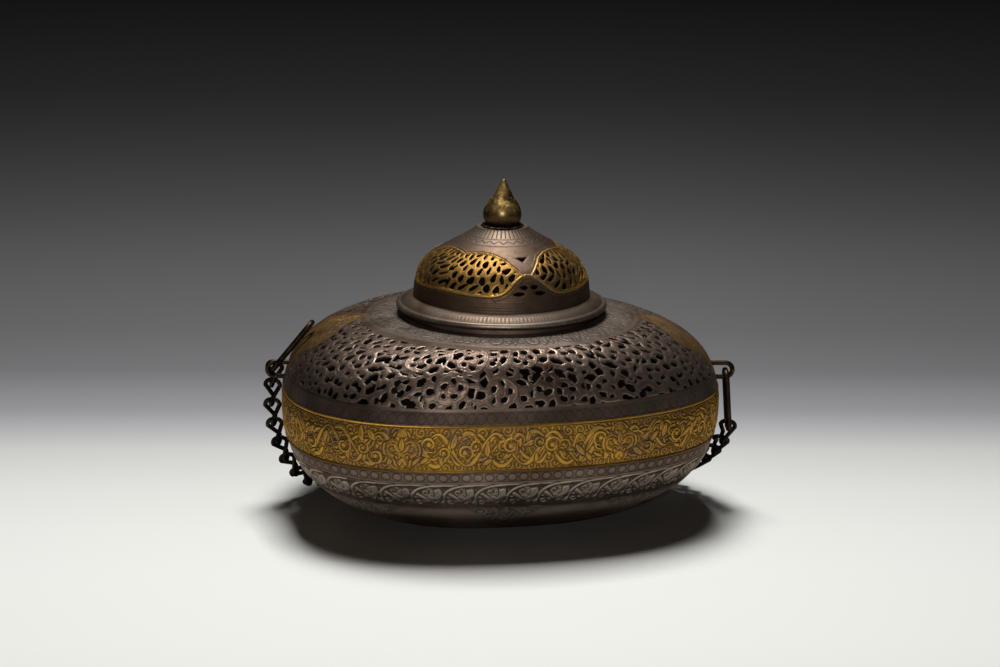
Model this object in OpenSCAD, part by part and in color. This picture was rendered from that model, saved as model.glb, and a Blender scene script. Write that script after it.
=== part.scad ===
// Lidded steel begging bowl of boat-like egg plan: a hammered lower bowl, a pierced upper
// shell, a mouth ring with a lift-off domed lid, and a chain of twisted links that hangs
// from an eye staple with a long link at each end. Millimetres, +Z up, the table is z = 0.

/* [Bowl] */
// Half length of the bowl at its widest level
half_length = 109.2; // [100:0.1:120]
// Half depth of the bowl at its widest level, midway along
half_depth = 85.5; // [78:0.1:94]
// How much broader the plan is at its -X end than at its +X end
egg_taper = 0.16; // [0.04:0.01:0.22]
// Squareness of the plan, where 2 is an ellipse
plan_power = 2.47; // [2.1:0.01:2.9]
// Height of the widest level
belly_z = 61.3; // [56:0.1:68]
// Depth of round bottom that the flat foot cuts away
foot_cut = 1; // [0.6:0.1:3]
// Fullness of the curve below the widest level
under_power = 2.5; // [2.2:0.05:2.9]
// Rise of the shoulder from the widest level to the neck
shoulder_rise = 41.3; // [36:0.1:46]
// Fullness of the shoulder along the length
shoulder_power_x = 2.33; // [2:0.01:2.8]
// Fullness of the shoulder across the depth
shoulder_power_y = 3.37; // [2.6:0.01:4]
// Thickness of the sheet
wall = 1.4; // [1:0.1:2]
// Depth of the seam between lower bowl and upper shell below the widest level
seam_drop = 16.9; // [12:0.1:22]
// Rise of the gilt band's top edge over the widest level
band_rise = 8.4; // [6:0.1:10]
// Rise of the openwork's lower edge over the widest level
openwork_rise = 14.3; // [12:0.1:18]
// Half width of the plain gilt panel on each end of the shoulder
panel_half_width = 22; // [16:1:30]

/* [Mouth] */
// Outer radius of the mouth ring, which the neck hole takes
neck_r = 46.4; // [43:0.1:50]
// Height of the mouth ring over the neck
ring_rise = 7.3; // [6:0.1:9]
// Depth of the mouth ring below the neck
ring_drop = 2.6; // [2:0.1:5]
// Thickness of the mouth ring
ring_wall = 1.9; // [1.2:0.1:2.6]
// Clearance between the neck hole and the mouth ring
neck_clear = 0.01; // [0.005:0.005:0.05]

/* [Lid] */
// Clearance between lid sleeve and mouth ring
lid_play = 0.3; // [0.2:0.05:0.6]
// Height that the lid's seat floats over the mouth ring
seat_gap = 0.1; // [0.05:0.05:0.3]
// Thickness of the lid's sheet
lid_wall = 1.2; // [1:0.1:1.6]
// Length of the sleeve below the lid's seat
sleeve_drop = 9.4; // [7:0.1:9.8]
// Reach of the brim's edge beyond the mouth ring
brim_reach = 6.25; // [5:0.05:8]
// Radius of the rolled edge of the brim
roll_r = 1.7; // [1.2:0.1:2]
// Height of the rolled edge's centre below the seat
roll_drop = 2.6; // [2:0.1:3.4]
// Rise of the brim from the seat to the foot of the dome
brim_rise = 2.2; // [1.8:0.1:3]
// Height of the dome from its foot to its flat top
dome_h = 34.6; // [30:0.1:40]
// Inset of the dome's turn from its foot
turn_in = 7.2; // [5:0.1:9]
// Height of the dome's turn, where the round side becomes the cone
turn_h = 19.4; // [16:0.1:22]
// Radius of the dome's flat top
dome_top_r = 12.6; // [12:0.1:16]
// Radius of the round holes in the lid's gilt fields
field_hole_r = 1.5; // [1:0.1:2]
// Radius of the leaf holes between the gilt fields
leaf_hole_r = 1.3; // [0.8:0.1:1.6]
// Turn of the lid's pattern from the front
lid_turn = 19.5; // [0:0.5:60]

/* [Finial] */
// Radius of the brass ring under the finial
finial_ring_r = 11; // [10.4:0.1:12]
// Height of the brass ring
finial_ring_h = 1.7; // [1.2:0.1:2.4]
// Largest radius of the finial
finial_r = 9.5; // [8.6:0.1:10.2]
// Height of the finial
finial_h = 22; // [18:0.1:26]
// Height of the finial's bulb
bulb_h = 11.6; // [9:0.1:14]
// Radius at the finial's waist
waist_r = 4.4; // [3.6:0.1:5.4]
// Radius of the finial's spigot
spigot_r = 3; // [2:0.1:4]
// Length of the spigot below the finial
spigot_l = 6.4; // [5.8:0.1:8]
// Clearance round the spigot
spigot_clear = 0.05; // [0.02:0.01:0.1]
// Radius of the washer inside the lid
washer_r = 7; // [6:0.1:9]
// Thickness of the washer
washer_t = 1.5; // [1:0.1:2]

/* [Staples] */
// Rise of the staple's middle over the widest level
eye_rise = 11.9; // [9:0.1:14]
// Bend radius of the eye at the wire's middle
eye_r = 3.6; // [3.4:0.1:4.2]
// Radius of the staple's wire
eye_wire = 1.2; // [1:0.05:1.3]
// Reach of the eye's centre beyond the wall
eye_reach = 5.6; // [5:0.1:7]
// Clearance round each leg in the wall and in the rove
leg_clear = 0.15; // [0.05:0.05:0.3]
// Radius of the rove inside the wall
rove_r = 6.6; // [6.4:0.1:7.4]
// Thickness of the rove
rove_t = 1; // [0.8:0.1:1.6]
// Gap between the middle of the rove and the curved wall
rove_seat = 1.5; // [1.4:0.05:1.8]
// Bend radius of the clenched leg
clench_r = 1.8; // [1.6:0.1:2.4]
// Length of the clenched end
clench_l = 2.6; // [2:0.1:4]

/* [Long links] */
// Length of a long link over its wire
long_length = 33; // [28:0.5:36]
// Width of a long link over its wire
long_width = 12; // [11:0.1:13]
// Radius of a long link's wire
long_wire = 1.4; // [1.2:0.05:1.5]
// Corner radius of a long link's bow
long_corner = 3; // [2.4:0.1:3.4]
// Lean of the long link that rests on the shoulder, from upright
long_lean = 39; // [30:1:40]
// Roll of the leaning long link about its length
long_roll = 8; // [0:1:10]

/* [Chain] */
// Length of a chain link over its wire
link_length = 15.4; // [14.6:0.1:16.4]
// Width of a chain link over its wire
link_width = 9.6; // [9.2:0.1:10]
// Radius of the chain's wire
link_wire = 1.1; // [0.95:0.05:1.15]
// Corner radius of a chain link's bow
link_corner = 3; // [2.6:0.1:3.2]
// Play between two linked bows
link_play = 0.3; // [0.25:0.05:0.5]
// Height of the middle of the chain where it lies on the table
lie_z = 4.2; // [4:0.1:6]
// Clear opening between the two halves of the chain behind the bowl
open_gap = 5; // [3:0.5:8]

/* [Hidden] */
$fn = 48;
columns = 96;
under_steps = 12;
shoulder_steps = 12;

steel = "#6b5a5c";
dark_steel = "#4a4043";
gilt = "#a8864a";
brass = "#c4923f";
bronze = "#8a7458";
iron = "#57504e";

// Levels
under_depth = belly_z + foot_cut;
neck_z = belly_z + shoulder_rise;
seam_z = belly_z - seam_drop;
band_z = belly_z + band_rise;
openwork_z = belly_z + openwork_rise;
eye_z = belly_z + eye_rise;
ring_top = neck_z + ring_rise;
seat_z = ring_top + seat_gap;
dome_z = seat_z + brim_rise;
dome_top_z = dome_z + dome_h;
finial_z = dome_top_z + finial_ring_h;

// Curves of the bowl's skin
function unit(v) = v / norm(v);
function ease(k, n) = pow(max(1 - pow(k, n), 0), 1 / n);
function lift(z) = min(max((z - belly_z) / shoulder_rise, 0), 1);
function sink(z) = min(max((belly_z - z) / under_depth, 0), 1);
function half_x(z) = z < belly_z ? half_length * ease(sink(z), under_power)
    : neck_r + (half_length - neck_r) * ease(lift(z), shoulder_power_x);
function half_y(z) = z < belly_z ? half_depth * ease(sink(z), under_power)
    : neck_r + (half_depth - neck_r) * ease(lift(z), shoulder_power_y);
function taper(z) = egg_taper * ease(lift(z), shoulder_power_y);
function squareness(z) = plan_power + (2 - plan_power) * lift(z);
function signed_power(v, n) = sign(v) * pow(abs(v), n);
function skin(t, z) =
    let (n = 2 / squareness(z), u = signed_power(cos(t), n), w = signed_power(sin(t), n))
    [half_x(z) * u, half_y(z) * w * (1 - taper(z) * u), z];
function column_angle(j) = (j + 0.5) * 360 / columns;

// Levels of the rows of facets, closer together where the skin turns level
foot_angle = asin(pow(belly_z / under_depth, under_power / 2));
seam_angle = asin(pow(seam_drop / under_depth, under_power / 2));
under_rows = [for (i = [0 : under_steps])
    let (a = foot_angle + (seam_angle - foot_angle) * i / under_steps)
    i == 0 ? 0 : i == under_steps ? seam_z : belly_z - under_depth * pow(sin(a), 2 / under_power)];
rise_angle = asin(openwork_rise / shoulder_rise);
shell_rows = concat(
    [seam_z, belly_z - seam_drop / 2, belly_z, band_z],
    [for (i = [0 : shoulder_steps])
        belly_z + shoulder_rise * sin(rise_angle + (90 - rise_angle) * i / shoulder_steps)]);
first_open_row = 4;
neck_hole_r = neck_r / cos(180 / columns) + neck_clear;

// Outer and inner grids of a shell; the inner one lies a wall's thickness along the normal
function outer_grid(rows, at_neck) = [for (i = [0 : len(rows) - 1]) [for (j = [0 : columns - 1])
    at_neck && i == len(rows) - 1
        ? [neck_hole_r * cos(column_angle(j)), neck_hole_r * sin(column_angle(j)), rows[i]]
        : skin(column_angle(j), rows[i])]];
function level_in(g, i, j) =
    let (d = g[i][(j + 1) % columns] - g[i][(j + columns - 1) % columns])
    unit([-d[1], d[0], 0]);
function normal_in(g, i, j) =
    let (d = g[i][(j + 1) % columns] - g[i][(j + columns - 1) % columns], r = g[i + 1][j] - g[i - 1][j])
    unit(cross(r, d));
function inner_grid(g, low_level, high_level) = [for (i = [0 : len(g) - 1]) [for (j = [0 : columns - 1])
    i == 0 ? g[i][j] + wall * (low_level ? level_in(g, i, j) : [0, 0, 1])
    : i == len(g) - 1 ? g[i][j] + wall * (high_level ? level_in(g, i, j) : [0, 0, -1])
    : g[i][j] + wall * normal_in(g, i, j)]];
function flat(g) = [for (r = g) for (p = r) p];
function quad(a, b, c, d) = [[a, b, c], [a, c, d]];
function shell_faces(rows, open) =
    let (n = columns, m = rows * n)
    [for (i = [0 : rows - 2]) for (j = [0 : n - 1])
        let (k = (j + 1) % n, a = i * n + j, b = a + n, c = (i + 1) * n + k, d = i * n + k)
        for (f = open[i][j]
            ? concat(quad(a, b, b + m, a + m), quad(b, c, c + m, b + m),
                quad(c, d, d + m, c + m), quad(d, a, a + m, d + m))
            : concat(quad(a, b, c, d), quad(d + m, c + m, b + m, a + m))) f];
function rim_faces(row, rows, up) =
    let (n = columns, m = rows * n)
    [for (j = [0 : n - 1])
        let (a = row * n + j, d = row * n + (j + 1) % n)
        for (f = up ? quad(d, a, a + m, d + m) : quad(a, d, d + m, a + m)) f];

// One cell in two of every second row is open, but not on the end panels or by the mouth
function is_open(g, i, j) =
    let (p = g[i][j], row = i - first_open_row)
    row >= 0 && row % 2 == 0 && i < len(g) - 5
    && (j + row / 2) % 2 == 0
    && abs(p[1]) > panel_half_width
    && !(row > 5 && abs(p[0]) < neck_r);

module lower_bowl() {
    g = outer_grid(under_rows, false);
    h = inner_grid(g, false, true);
    rows = len(under_rows);
    closed = [for (i = g) [for (j = i) false]];
    n = columns;
    m = rows * n;
    foot = [for (j = [0 : n - 1]) [j, (j + 1) % n, 2 * m]];
    inside = [for (j = [0 : n - 1]) [m + (j + 1) % n, m + j, 2 * m + 1]];
    color(steel)
        polyhedron(
            concat(flat(g), flat(h), [[0, 0, 0], [0, 0, wall]]),
            concat(shell_faces(rows, closed), rim_faces(rows - 1, rows, true), foot, inside));
}

module leg_holes(side) {
    for (s = [-1, 1])
        translate([side * (half_x(eye_z) + eye_reach), 0, eye_z + s * eye_r])
            rotate([0, -90 * side, 0])
                cylinder(h = eye_reach + 3 * clench_r + 10, r = eye_wire + leg_clear);
}

module pierced_shell() {
    g = outer_grid(shell_rows, true);
    h = inner_grid(g, true, false);
    rows = len(shell_rows);
    open = [for (i = [0 : rows - 1]) [for (j = [0 : columns - 1]) is_open(g, i, j)]];
    color(dark_steel)
        difference() {
            polyhedron(
                concat(flat(g), flat(h)),
                concat(shell_faces(rows, open), rim_faces(0, rows, false), rim_faces(rows - 1, rows, true)));
            leg_holes(-1);
            leg_holes(1);
        }
}

module turned(points) {
    rotate_extrude($fn = 96)
        polygon(points);
}

ring_in_r = neck_r - ring_wall;
sleeve_r = ring_in_r - lid_play;
sleeve_in_r = sleeve_r - lid_wall;
dome_r = sleeve_r - lid_wall / 8;

module mouth_ring() {
    color(dark_steel)
        turned([[ring_in_r, neck_z - ring_drop], [neck_r, neck_z - ring_drop],
            [neck_r, ring_top], [ring_in_r, ring_top]]);
}

module lid_sleeve() {
    color(steel)
        turned([[sleeve_in_r, seat_z - sleeve_drop], [sleeve_r, seat_z - sleeve_drop],
            [sleeve_r, dome_z], [sleeve_in_r, dome_z]]);
}

roll_at_r = neck_r + brim_reach - roll_r;
roll_z = seat_z - roll_drop;

module lid_brim() {
    color(steel)
        rotate_extrude($fn = 96)
            union() {
                polygon([[sleeve_r, seat_z], [neck_r + wall / 2, seat_z], [roll_at_r - roll_r / 3, roll_z],
                    [roll_at_r + roll_r / 3, roll_z + roll_r * 0.85], [dome_r + lid_wall / 3, dome_z],
                    [sleeve_r, dome_z]]);
                translate([roll_at_r, roll_z])
                    circle(r = roll_r);
            }
}

// Side of the dome: a round lower curve to the turn, then a nearly straight cone
function bezier(a, b, c, d, f) =
    a * pow(1 - f, 3) + b * 3 * f * pow(1 - f, 2) + c * 3 * f * f * (1 - f) + d * pow(f, 3);
turn_at = [dome_r - turn_in, dome_z + turn_h];
cone_slope = unit([dome_top_r - turn_at[0], dome_top_z - turn_at[1]]);
dome_side = concat(
    [for (i = [0 : 7]) bezier([dome_r, dome_z], [dome_r, dome_z + turn_h * 0.5],
        turn_at - turn_h * 0.3 * [-0.75, 0.66], turn_at, i / 8)],
    [for (i = [0 : 5]) bezier(turn_at, turn_at + turn_h * 0.3 * [-0.75, 0.66],
        [dome_top_r, dome_top_z] - turn_h * 0.3 * [-0.72, 0.69], [dome_top_r, dome_top_z], i / 5)]);
function side_in(p, i) =
    let (a = p[max(i - 1, 0)], b = p[min(i + 1, len(p) - 1)], d = unit(b - a))
    i == 0 ? [-1, 0] : [-d[1], d[0]];
dome_inside = [for (i = [0 : len(dome_side) - 2]) dome_side[i] + lid_wall * side_in(dome_side, i)];
function side_r(z, i = 0) = i >= len(dome_side) - 2 || dome_side[i + 1][1] >= z
    ? let (f = (z - dome_side[i][1]) / (dome_side[i + 1][1] - dome_side[i][1]))
        dome_side[i][0] + f * (dome_side[i + 1][0] - dome_side[i][0])
    : side_r(z, i + 1);

module dome_hole(turn, z, r) {
    rotate([0, 0, turn])
        translate([side_r(z) - 4 * lid_wall, 0, z - 2 * lid_wall])
            rotate([0, 62, 0])
                cylinder(h = 8 * lid_wall, r = r);
}

module lid_dome() {
    low_z = dome_z + turn_h * 0.66;
    mid_z = dome_z + turn_h * 0.98;
    high_z = dome_z + turn_h * 1.3;
    color(gilt)
        difference() {
            turned(concat(dome_side,
                [[spigot_r + spigot_clear, dome_top_z], [spigot_r + spigot_clear, dome_top_z - lid_wall],
                    [dome_top_r - lid_wall / 2, dome_top_z - lid_wall]],
                [for (i = [len(dome_inside) - 1 : -1 : 0]) dome_inside[i]]));
            for (q = [0 : 2]) {
                meet = 270 + lid_turn + 120 * q;
                dome_hole(meet, high_z, leaf_hole_r);
                for (s = [-1, 1]) {
                    dome_hole(meet + s * 3.2, dome_z + turn_h * 0.7, leaf_hole_r);
                    dome_hole(meet + s * 7.6, dome_z + turn_h * 0.53, leaf_hole_r);
                    for (k = [8, 24, 40])
                        dome_hole(meet + 60 + s * k, low_z, field_hole_r);
                    for (k = [14, 30, 44])
                        dome_hole(meet + 60 + s * k, mid_z, field_hole_r);
                }
            }
        }
}

module finial_ring() {
    color(brass)
        turned([[spigot_r + spigot_clear, dome_top_z], [finial_ring_r - finial_ring_h / 3, dome_top_z],
            [finial_ring_r, dome_top_z + finial_ring_h / 3], [finial_ring_r, dome_top_z + finial_ring_h * 2 / 3],
            [finial_ring_r - finial_ring_h / 3, finial_z], [spigot_r + spigot_clear, finial_z]]);
}

module finial() {
    bulb = [for (i = [0 : 11]) bezier([finial_r - 2, 0], [finial_r + 1.1, bulb_h * 0.15],
        [finial_r + 0.3, bulb_h * 0.85], [waist_r, bulb_h], i / 11)];
    spire = [for (i = [1 : 8]) [waist_r * pow(1 - i / 8, 0.9), bulb_h + (finial_h - bulb_h) * i / 8]];
    color(brass)
        translate([0, 0, finial_z])
            turned(concat([[0, -spigot_l], [spigot_r, -spigot_l], [spigot_r, 0]], bulb, spire));
}

module finial_washer() {
    top = dome_top_z - lid_wall;
    color(bronze)
        turned([[spigot_r + spigot_clear, top - washer_t], [washer_r, top - washer_t],
            [washer_r, top], [spigot_r + spigot_clear, top]]);
}

// Round wire pieces
module rod(a, b, r) {
    d = b - a;
    translate(a)
        rotate([0, acos(d[2] / norm(d)), atan2(d[1], d[0])])
            cylinder(h = norm(d), r = r);
}

// Quarter of a wire ring that starts at the origin along +X and turns up to +Z
module quarter(bend, r) {
    translate([0, 0, bend])
        rotate([90, 0, 0])
            rotate([0, 0, 270])
                rotate_extrude(angle = 90)
                    translate([bend, 0])
                        circle(r = r);
}

// Bow of a link with its tip at the origin, in the XZ plane, opening up
module bow(half_w, corner, r) {
    s = half_w - corner;
    rod([-s, 0, 0], [s, 0, 0], r);
    for (k = [0, 1])
        mirror([k, 0, 0])
            translate([s, 0, 0])
                quarter(corner, r);
}

wall_lean = atan2(half_x(eye_z - eye_r) - half_x(eye_z + eye_r), 2 * eye_r);
eye_x = half_x(eye_z) + eye_reach;
rove_in_x = half_x(eye_z) - wall / cos(wall_lean) - rove_seat - rove_t / cos(wall_lean);
function clench_x(s) = rove_in_x - eye_wire - 2 * leg_clear
    - (s > 0 ? (eye_r + clench_r + clench_l) * tan(wall_lean) : -eye_r * tan(wall_lean));

// Eye staple for the +X end: an eye, two legs through the wall, ends clenched apart
module staple() {
    translate([eye_x, 0, eye_z])
        rotate([90, 0, 0])
            rotate([0, 0, -90])
                rotate_extrude(angle = 180)
                    translate([eye_r, 0])
                        circle(r = eye_wire);
    for (s = [-1, 1]) {
        turn_x = clench_x(s) + clench_r;
        rod([turn_x, 0, eye_z + s * eye_r], [eye_x, 0, eye_z + s * eye_r], eye_wire);
        translate([turn_x, 0, eye_z + s * eye_r])
            mirror([1, 0, 0])
                mirror([0, 0, s > 0 ? 0 : 1])
                    quarter(clench_r, eye_wire);
        rod([clench_x(s), 0, eye_z + s * (eye_r + clench_r)],
            [clench_x(s), 0, eye_z + s * (eye_r + clench_r + clench_l)], eye_wire);
        for (p = [[eye_x, 0, eye_z + s * eye_r], [turn_x, 0, eye_z + s * eye_r],
                [clench_x(s), 0, eye_z + s * (eye_r + clench_r)]])
            translate(p)
                sphere(r = eye_wire * 1.02);
    }
}

module rove() {
    difference() {
        translate([rove_in_x, 0, eye_z])
            rotate([0, 90 - wall_lean, 0])
                cylinder(h = rove_t, r = rove_r);
        leg_holes(1);
    }
}

module left_staple() {
    color(bronze)
        mirror([1, 0, 0])
            staple();
}

module right_staple() {
    color(bronze)
        staple();
}

module left_rove() {
    color(iron)
        mirror([1, 0, 0])
            rove();
}

module right_rove() {
    color(iron)
        rove();
}

// Stand a shape's own X, Y and Z on three square directions at a point
module stand(at, x, y, z) {
    multmatrix([[x[0], y[0], z[0], at[0]], [x[1], y[1], z[1], at[1]], [x[2], y[2], z[2], at[2]], [0, 0, 0, 1]])
        children();
}

long_tip = long_length - 2 * long_wire;
long_half = long_width / 2 - long_wire;

module long_link() {
    bow(long_half, long_corner, long_wire);
    translate([0, 0, long_tip])
        mirror([0, 0, 1])
            bow(long_half, long_corner, long_wire);
    for (s = [-1, 1])
        rod([s * long_half, 0, long_corner], [s * long_half, 0, long_tip - long_corner], long_wire);
}

// The left long link leans up on the shoulder and the right one hangs
left_long_at = [-eye_x - 0.5, 1.45, eye_z - 0.1];
left_long_way = [sin(long_lean), 0, cos(long_lean)];
left_long_side = cos(long_roll) * [0, 1, 0] - sin(long_roll) * [-cos(long_lean), 0, sin(long_lean)];
right_long_at = [eye_x + 0.2, 0, eye_z - eye_r + eye_wire + long_wire + link_play + 0.1];
right_long_way = unit([0.08, 0.05, -1]);
right_long_side = unit([0, 1, 0] - right_long_way[1] * right_long_way);
right_long_end = right_long_at + long_tip * right_long_way;

module left_long_link() {
    color(bronze)
        stand(left_long_at, left_long_side, cross(left_long_way, left_long_side), left_long_way)
            long_link();
}

module right_long_link() {
    color(bronze)
        stand(right_long_at, right_long_side, cross(right_long_way, right_long_side), right_long_way)
            long_link();
}

// Route of the chain: down from the left eye, round the back on the table, up to the right
function route(slack) = [
    [-eye_x + 0.1, 3.6, eye_z + 1.6],
    [-half_length - 5.4, 6.8, eye_z - 8.6],
    [-half_length - 5.8, 8.4, eye_z - 22],
    [-half_length - 4.2, 10, eye_z - 34],
    [-half_length - 0.8, 12.5, eye_z - 45.7],
    [-half_length + 4.4, 17, eye_z - 56.5],
    [-half_length + 12, 24, lie_z + 4.2],
    [-half_length + 21, 34, lie_z + 0.5],
    [-half_length + 28, 48, lie_z],
    [-half_length + 33, half_depth - 19, lie_z],
    [-half_length + 46, half_depth + slack * 0.6, lie_z],
    [-half_length + 72, half_depth + 14 + slack * 0.9, lie_z],
    [-3.3, half_depth + 19 + slack, lie_z],
    [half_length - 72, half_depth + 15 + slack * 0.9, lie_z],
    [half_length - 46, half_depth + 2 + slack * 0.6, lie_z],
    [half_length - 29, half_depth - 19, lie_z + 0.1],
    [half_length - 17, 46, lie_z + 4],
    [half_length - 6, 28.5, lie_z + 12.5],
    [half_length + 1, 16, lie_z + 23],
    [half_length + 4.4, 7.4, lie_z + 31],
    right_long_end + [0.4, 1.4, 2]
];
function blend(a, b, c, d, f) =
    (2 * b + (c - a) * f + (2 * a - 5 * b + 4 * c - d) * f * f + (3 * b - a - 3 * c + d) * f * f * f) / 2;
function along(r, u) =
    let (n = len(r), i = min(max(floor(u), 0), n - 2))
    blend(r[max(i - 1, 0)], r[i], r[i + 1], r[min(i + 2, n - 1)], u - i);

// Pivots one pitch apart along the route, found by halving
half_w = link_width / 2 - link_wire;
tip = link_length - 2 * link_wire;
hook = link_wire + link_play / 2;
pitch = tip - 2 * hook;
left_count = 19;
right_count = 17;
function next_at(r, u, p, way, lo = 0, hi = 2, k = 0) =
    let (mid = (lo + hi) / 2)
    k == 22 ? u + way * mid
    : norm(along(r, u + way * mid) - p) < pitch ? next_at(r, u, p, way, mid, hi, k + 1)
    : next_at(r, u, p, way, lo, mid, k + 1);
function pivots(r, u0, count, way) =
    [for (i = 0, u = u0, p = along(r, u0); i <= count;
        i = i + 1, u = next_at(r, u, p, way), p = along(r, u)) p];

// The run behind the bowl reaches as far back as the chain's length needs
function opening(slack) =
    let (r = route(slack), a = pivots(r, 0, left_count, 1), b = pivots(r, len(r) - 1, right_count, -1))
    b[right_count][0] - a[left_count][0] - open_gap - 2 * (hook + link_wire);
function solve_slack(s0, f0, s1, f1, k = 0) =
    k == 5 || abs(f1 - f0) < 0.000001 ? s1
    : let (s2 = s1 - f1 * (s1 - s0) / (f1 - f0)) solve_slack(s1, f1, s2, opening(s2), k + 1);
slack = solve_slack(0, opening(0), -3, opening(-3));
chain_route = route(slack);
left_pivots = pivots(chain_route, 0, left_count, 1);
right_pivots = pivots(chain_route, len(chain_route) - 1, right_count, -1);

// Side direction of each link, carried along the chain without twist
function square_to(p, t) = unit(p - (p * unit(t)) * unit(t));
function sides(at, first) =
    [for (i = 0, p = square_to(first, at[1] - at[0]); i < len(at) - 1;
        i = i + 1, p = i < len(at) - 1 ? square_to(p, at[i + 1] - at[i]) : p) p];
left_sides = sides(left_pivots, left_long_side);
right_sides = sides(right_pivots, right_long_side);

// A link twisted a quarter turn: its two bows stand square to each other
module twisted_link() {
    bow(half_w, link_corner, link_wire);
    translate([0, 0, tip])
        mirror([0, 0, 1])
            rotate([0, 0, 90])
                bow(half_w, link_corner, link_wire);
    for (s = [-1, 1]) {
        low = [s * half_w, 0, link_corner];
        high = [0, s * half_w, tip - link_corner];
        rod(low, high, link_wire);
        translate(low)
            sphere(r = link_wire * 1.02);
        translate(high)
            sphere(r = link_wire * 1.02);
    }
}

module chain_link(at, side, i) {
    t = unit(at[i] - at[i - 1]);
    p = side[i - 1];
    color(iron)
        stand(at[i - 1] - hook * t, cross(p, t), p, t)
            twisted_link();
}

module left_link(i) {
    chain_link(left_pivots, left_sides, i);
}

module right_link(i) {
    chain_link(right_pivots, right_sides, i);
}

lower_bowl();
pierced_shell();
mouth_ring();
lid_dome();
lid_brim();
lid_sleeve();
finial();
finial_ring();
finial_washer();
left_staple();
right_staple();
left_rove();
right_rove();
left_long_link();
right_long_link();
left_link(1);  // left_link_01
left_link(2);  // left_link_02
left_link(3);  // left_link_03
left_link(4);  // left_link_04
left_link(5);  // left_link_05
left_link(6);  // left_link_06
left_link(7);  // left_link_07
left_link(8);  // left_link_08
left_link(9);  // left_link_09
left_link(10);  // left_link_10
left_link(11);  // left_link_11
left_link(12);  // left_link_12
left_link(13);  // left_link_13
left_link(14);  // left_link_14
left_link(15);  // left_link_15
left_link(16);  // left_link_16
left_link(17);  // left_link_17
left_link(18);  // left_link_18
left_link(19);  // left_link_19
right_link(1);  // right_link_01
right_link(2);  // right_link_02
right_link(3);  // right_link_03
right_link(4);  // right_link_04
right_link(5);  // right_link_05
right_link(6);  // right_link_06
right_link(7);  // right_link_07
right_link(8);  // right_link_08
right_link(9);  // right_link_09
right_link(10);  // right_link_10
right_link(11);  // right_link_11
right_link(12);  // right_link_12
right_link(13);  // right_link_13
right_link(14);  // right_link_14
right_link(15);  // right_link_15
right_link(16);  // right_link_16
right_link(17);  // right_link_17
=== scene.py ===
"""Looks of a lidded, pierced steel begging bowl with its chain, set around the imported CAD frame."""

import math
from collections import namedtuple
from types import SimpleNamespace

import bpy
import numpy as np
from bpy.props import FloatProperty, FloatVectorProperty, PointerProperty
from mathutils import Matrix, Vector


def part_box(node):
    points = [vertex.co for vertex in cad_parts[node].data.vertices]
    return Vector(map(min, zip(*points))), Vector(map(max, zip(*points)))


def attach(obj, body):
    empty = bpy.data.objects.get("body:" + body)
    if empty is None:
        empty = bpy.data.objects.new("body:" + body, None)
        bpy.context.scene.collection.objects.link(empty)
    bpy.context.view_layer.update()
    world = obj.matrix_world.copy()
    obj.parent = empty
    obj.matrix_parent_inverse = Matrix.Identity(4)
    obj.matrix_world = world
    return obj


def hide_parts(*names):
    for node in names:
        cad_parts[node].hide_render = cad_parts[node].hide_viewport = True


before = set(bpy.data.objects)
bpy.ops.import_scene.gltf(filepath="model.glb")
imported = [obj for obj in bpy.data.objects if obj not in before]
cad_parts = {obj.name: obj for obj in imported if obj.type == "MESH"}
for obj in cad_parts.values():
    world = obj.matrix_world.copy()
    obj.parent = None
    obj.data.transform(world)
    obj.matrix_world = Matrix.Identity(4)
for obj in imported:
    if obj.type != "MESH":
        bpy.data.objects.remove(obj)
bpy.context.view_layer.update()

bl_info = {
    "name": "Begging bowl looks",
    "version": (1, 0, 0),
    "blender": (4, 5, 0),
    "location": "View3D > Sidebar > Begging bowl",
    "description": "Dresses the bowl's packed solids with chased, pierced and gilt metal",
    "category": "Object",
}

TAU = 2 * np.pi
MM = 0.001
# Painted shade on every inside skin, and the angles in degrees over which edges of chased and pierced sheet
# stay sharp
INSIDE_PAINTED_SHADE = 0.95
CHASED_EDGE, PIERCED_EDGE = 50, 38


# Values that a user would change

def size(label, mm, about):
    """A length property given in millimetres and kept in metres."""
    return FloatProperty(name=label, description=about, default=mm * MM, min=0, precision=5, unit="LENGTH")


def turn(label, degrees, about):
    """An angle given in degrees."""
    return FloatProperty(name=label, description=about, default=math.radians(degrees),
                         subtype="ANGLE", unit="ROTATION")


def tint(label, code, about):
    """A colour given as a #rrggbb code."""
    parts = [int(code[i:i + 2], 16) / 255 for i in (1, 3, 5)]
    linear = [c / 12.92 if c <= 0.04045 else ((c + 0.055) / 1.055) ** 2.4 for c in parts]
    return FloatVectorProperty(name=label, description=about, default=linear,
                               size=3, min=0, max=1, subtype="COLOR")


class BowlSizes(bpy.types.PropertyGroup):
    half_length: size("Half length", 109.2, "Half length of the bowl at its widest level")
    half_depth: size("Half depth", 85.5, "Half depth of the bowl at its widest level")
    belly: size("Belly height", 61.3, "Height of the widest level")
    under: size("Under depth", 62.3, "Depth of the round underside, with what the foot cuts away")
    rise: size("Shoulder rise", 41.3, "Rise from the widest level to the neck")
    neck: size("Neck radius", 46.41, "Radius of the neck hole")
    wall: size("Wall", 1.4, "Thickness of the sheet")
    seam: size("Seam height", 44.4, "Height of the seam between lower bowl and upper shell")
    gilt_top: size("Gilt band top", 68.2, "Height of the gilt band's top edge")
    open_low: size("Openwork foot", 75.2, "Height of the openwork's lower edge")
    collar: size("Collar height", 100.8, "Height where the openwork ends and the collar begins")
    base_top: size("Base top", 9.0, "Height where the chased sides end and the plain base begins")
    relief: size("Relief", 0.48, "Height of the chased relief")


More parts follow.
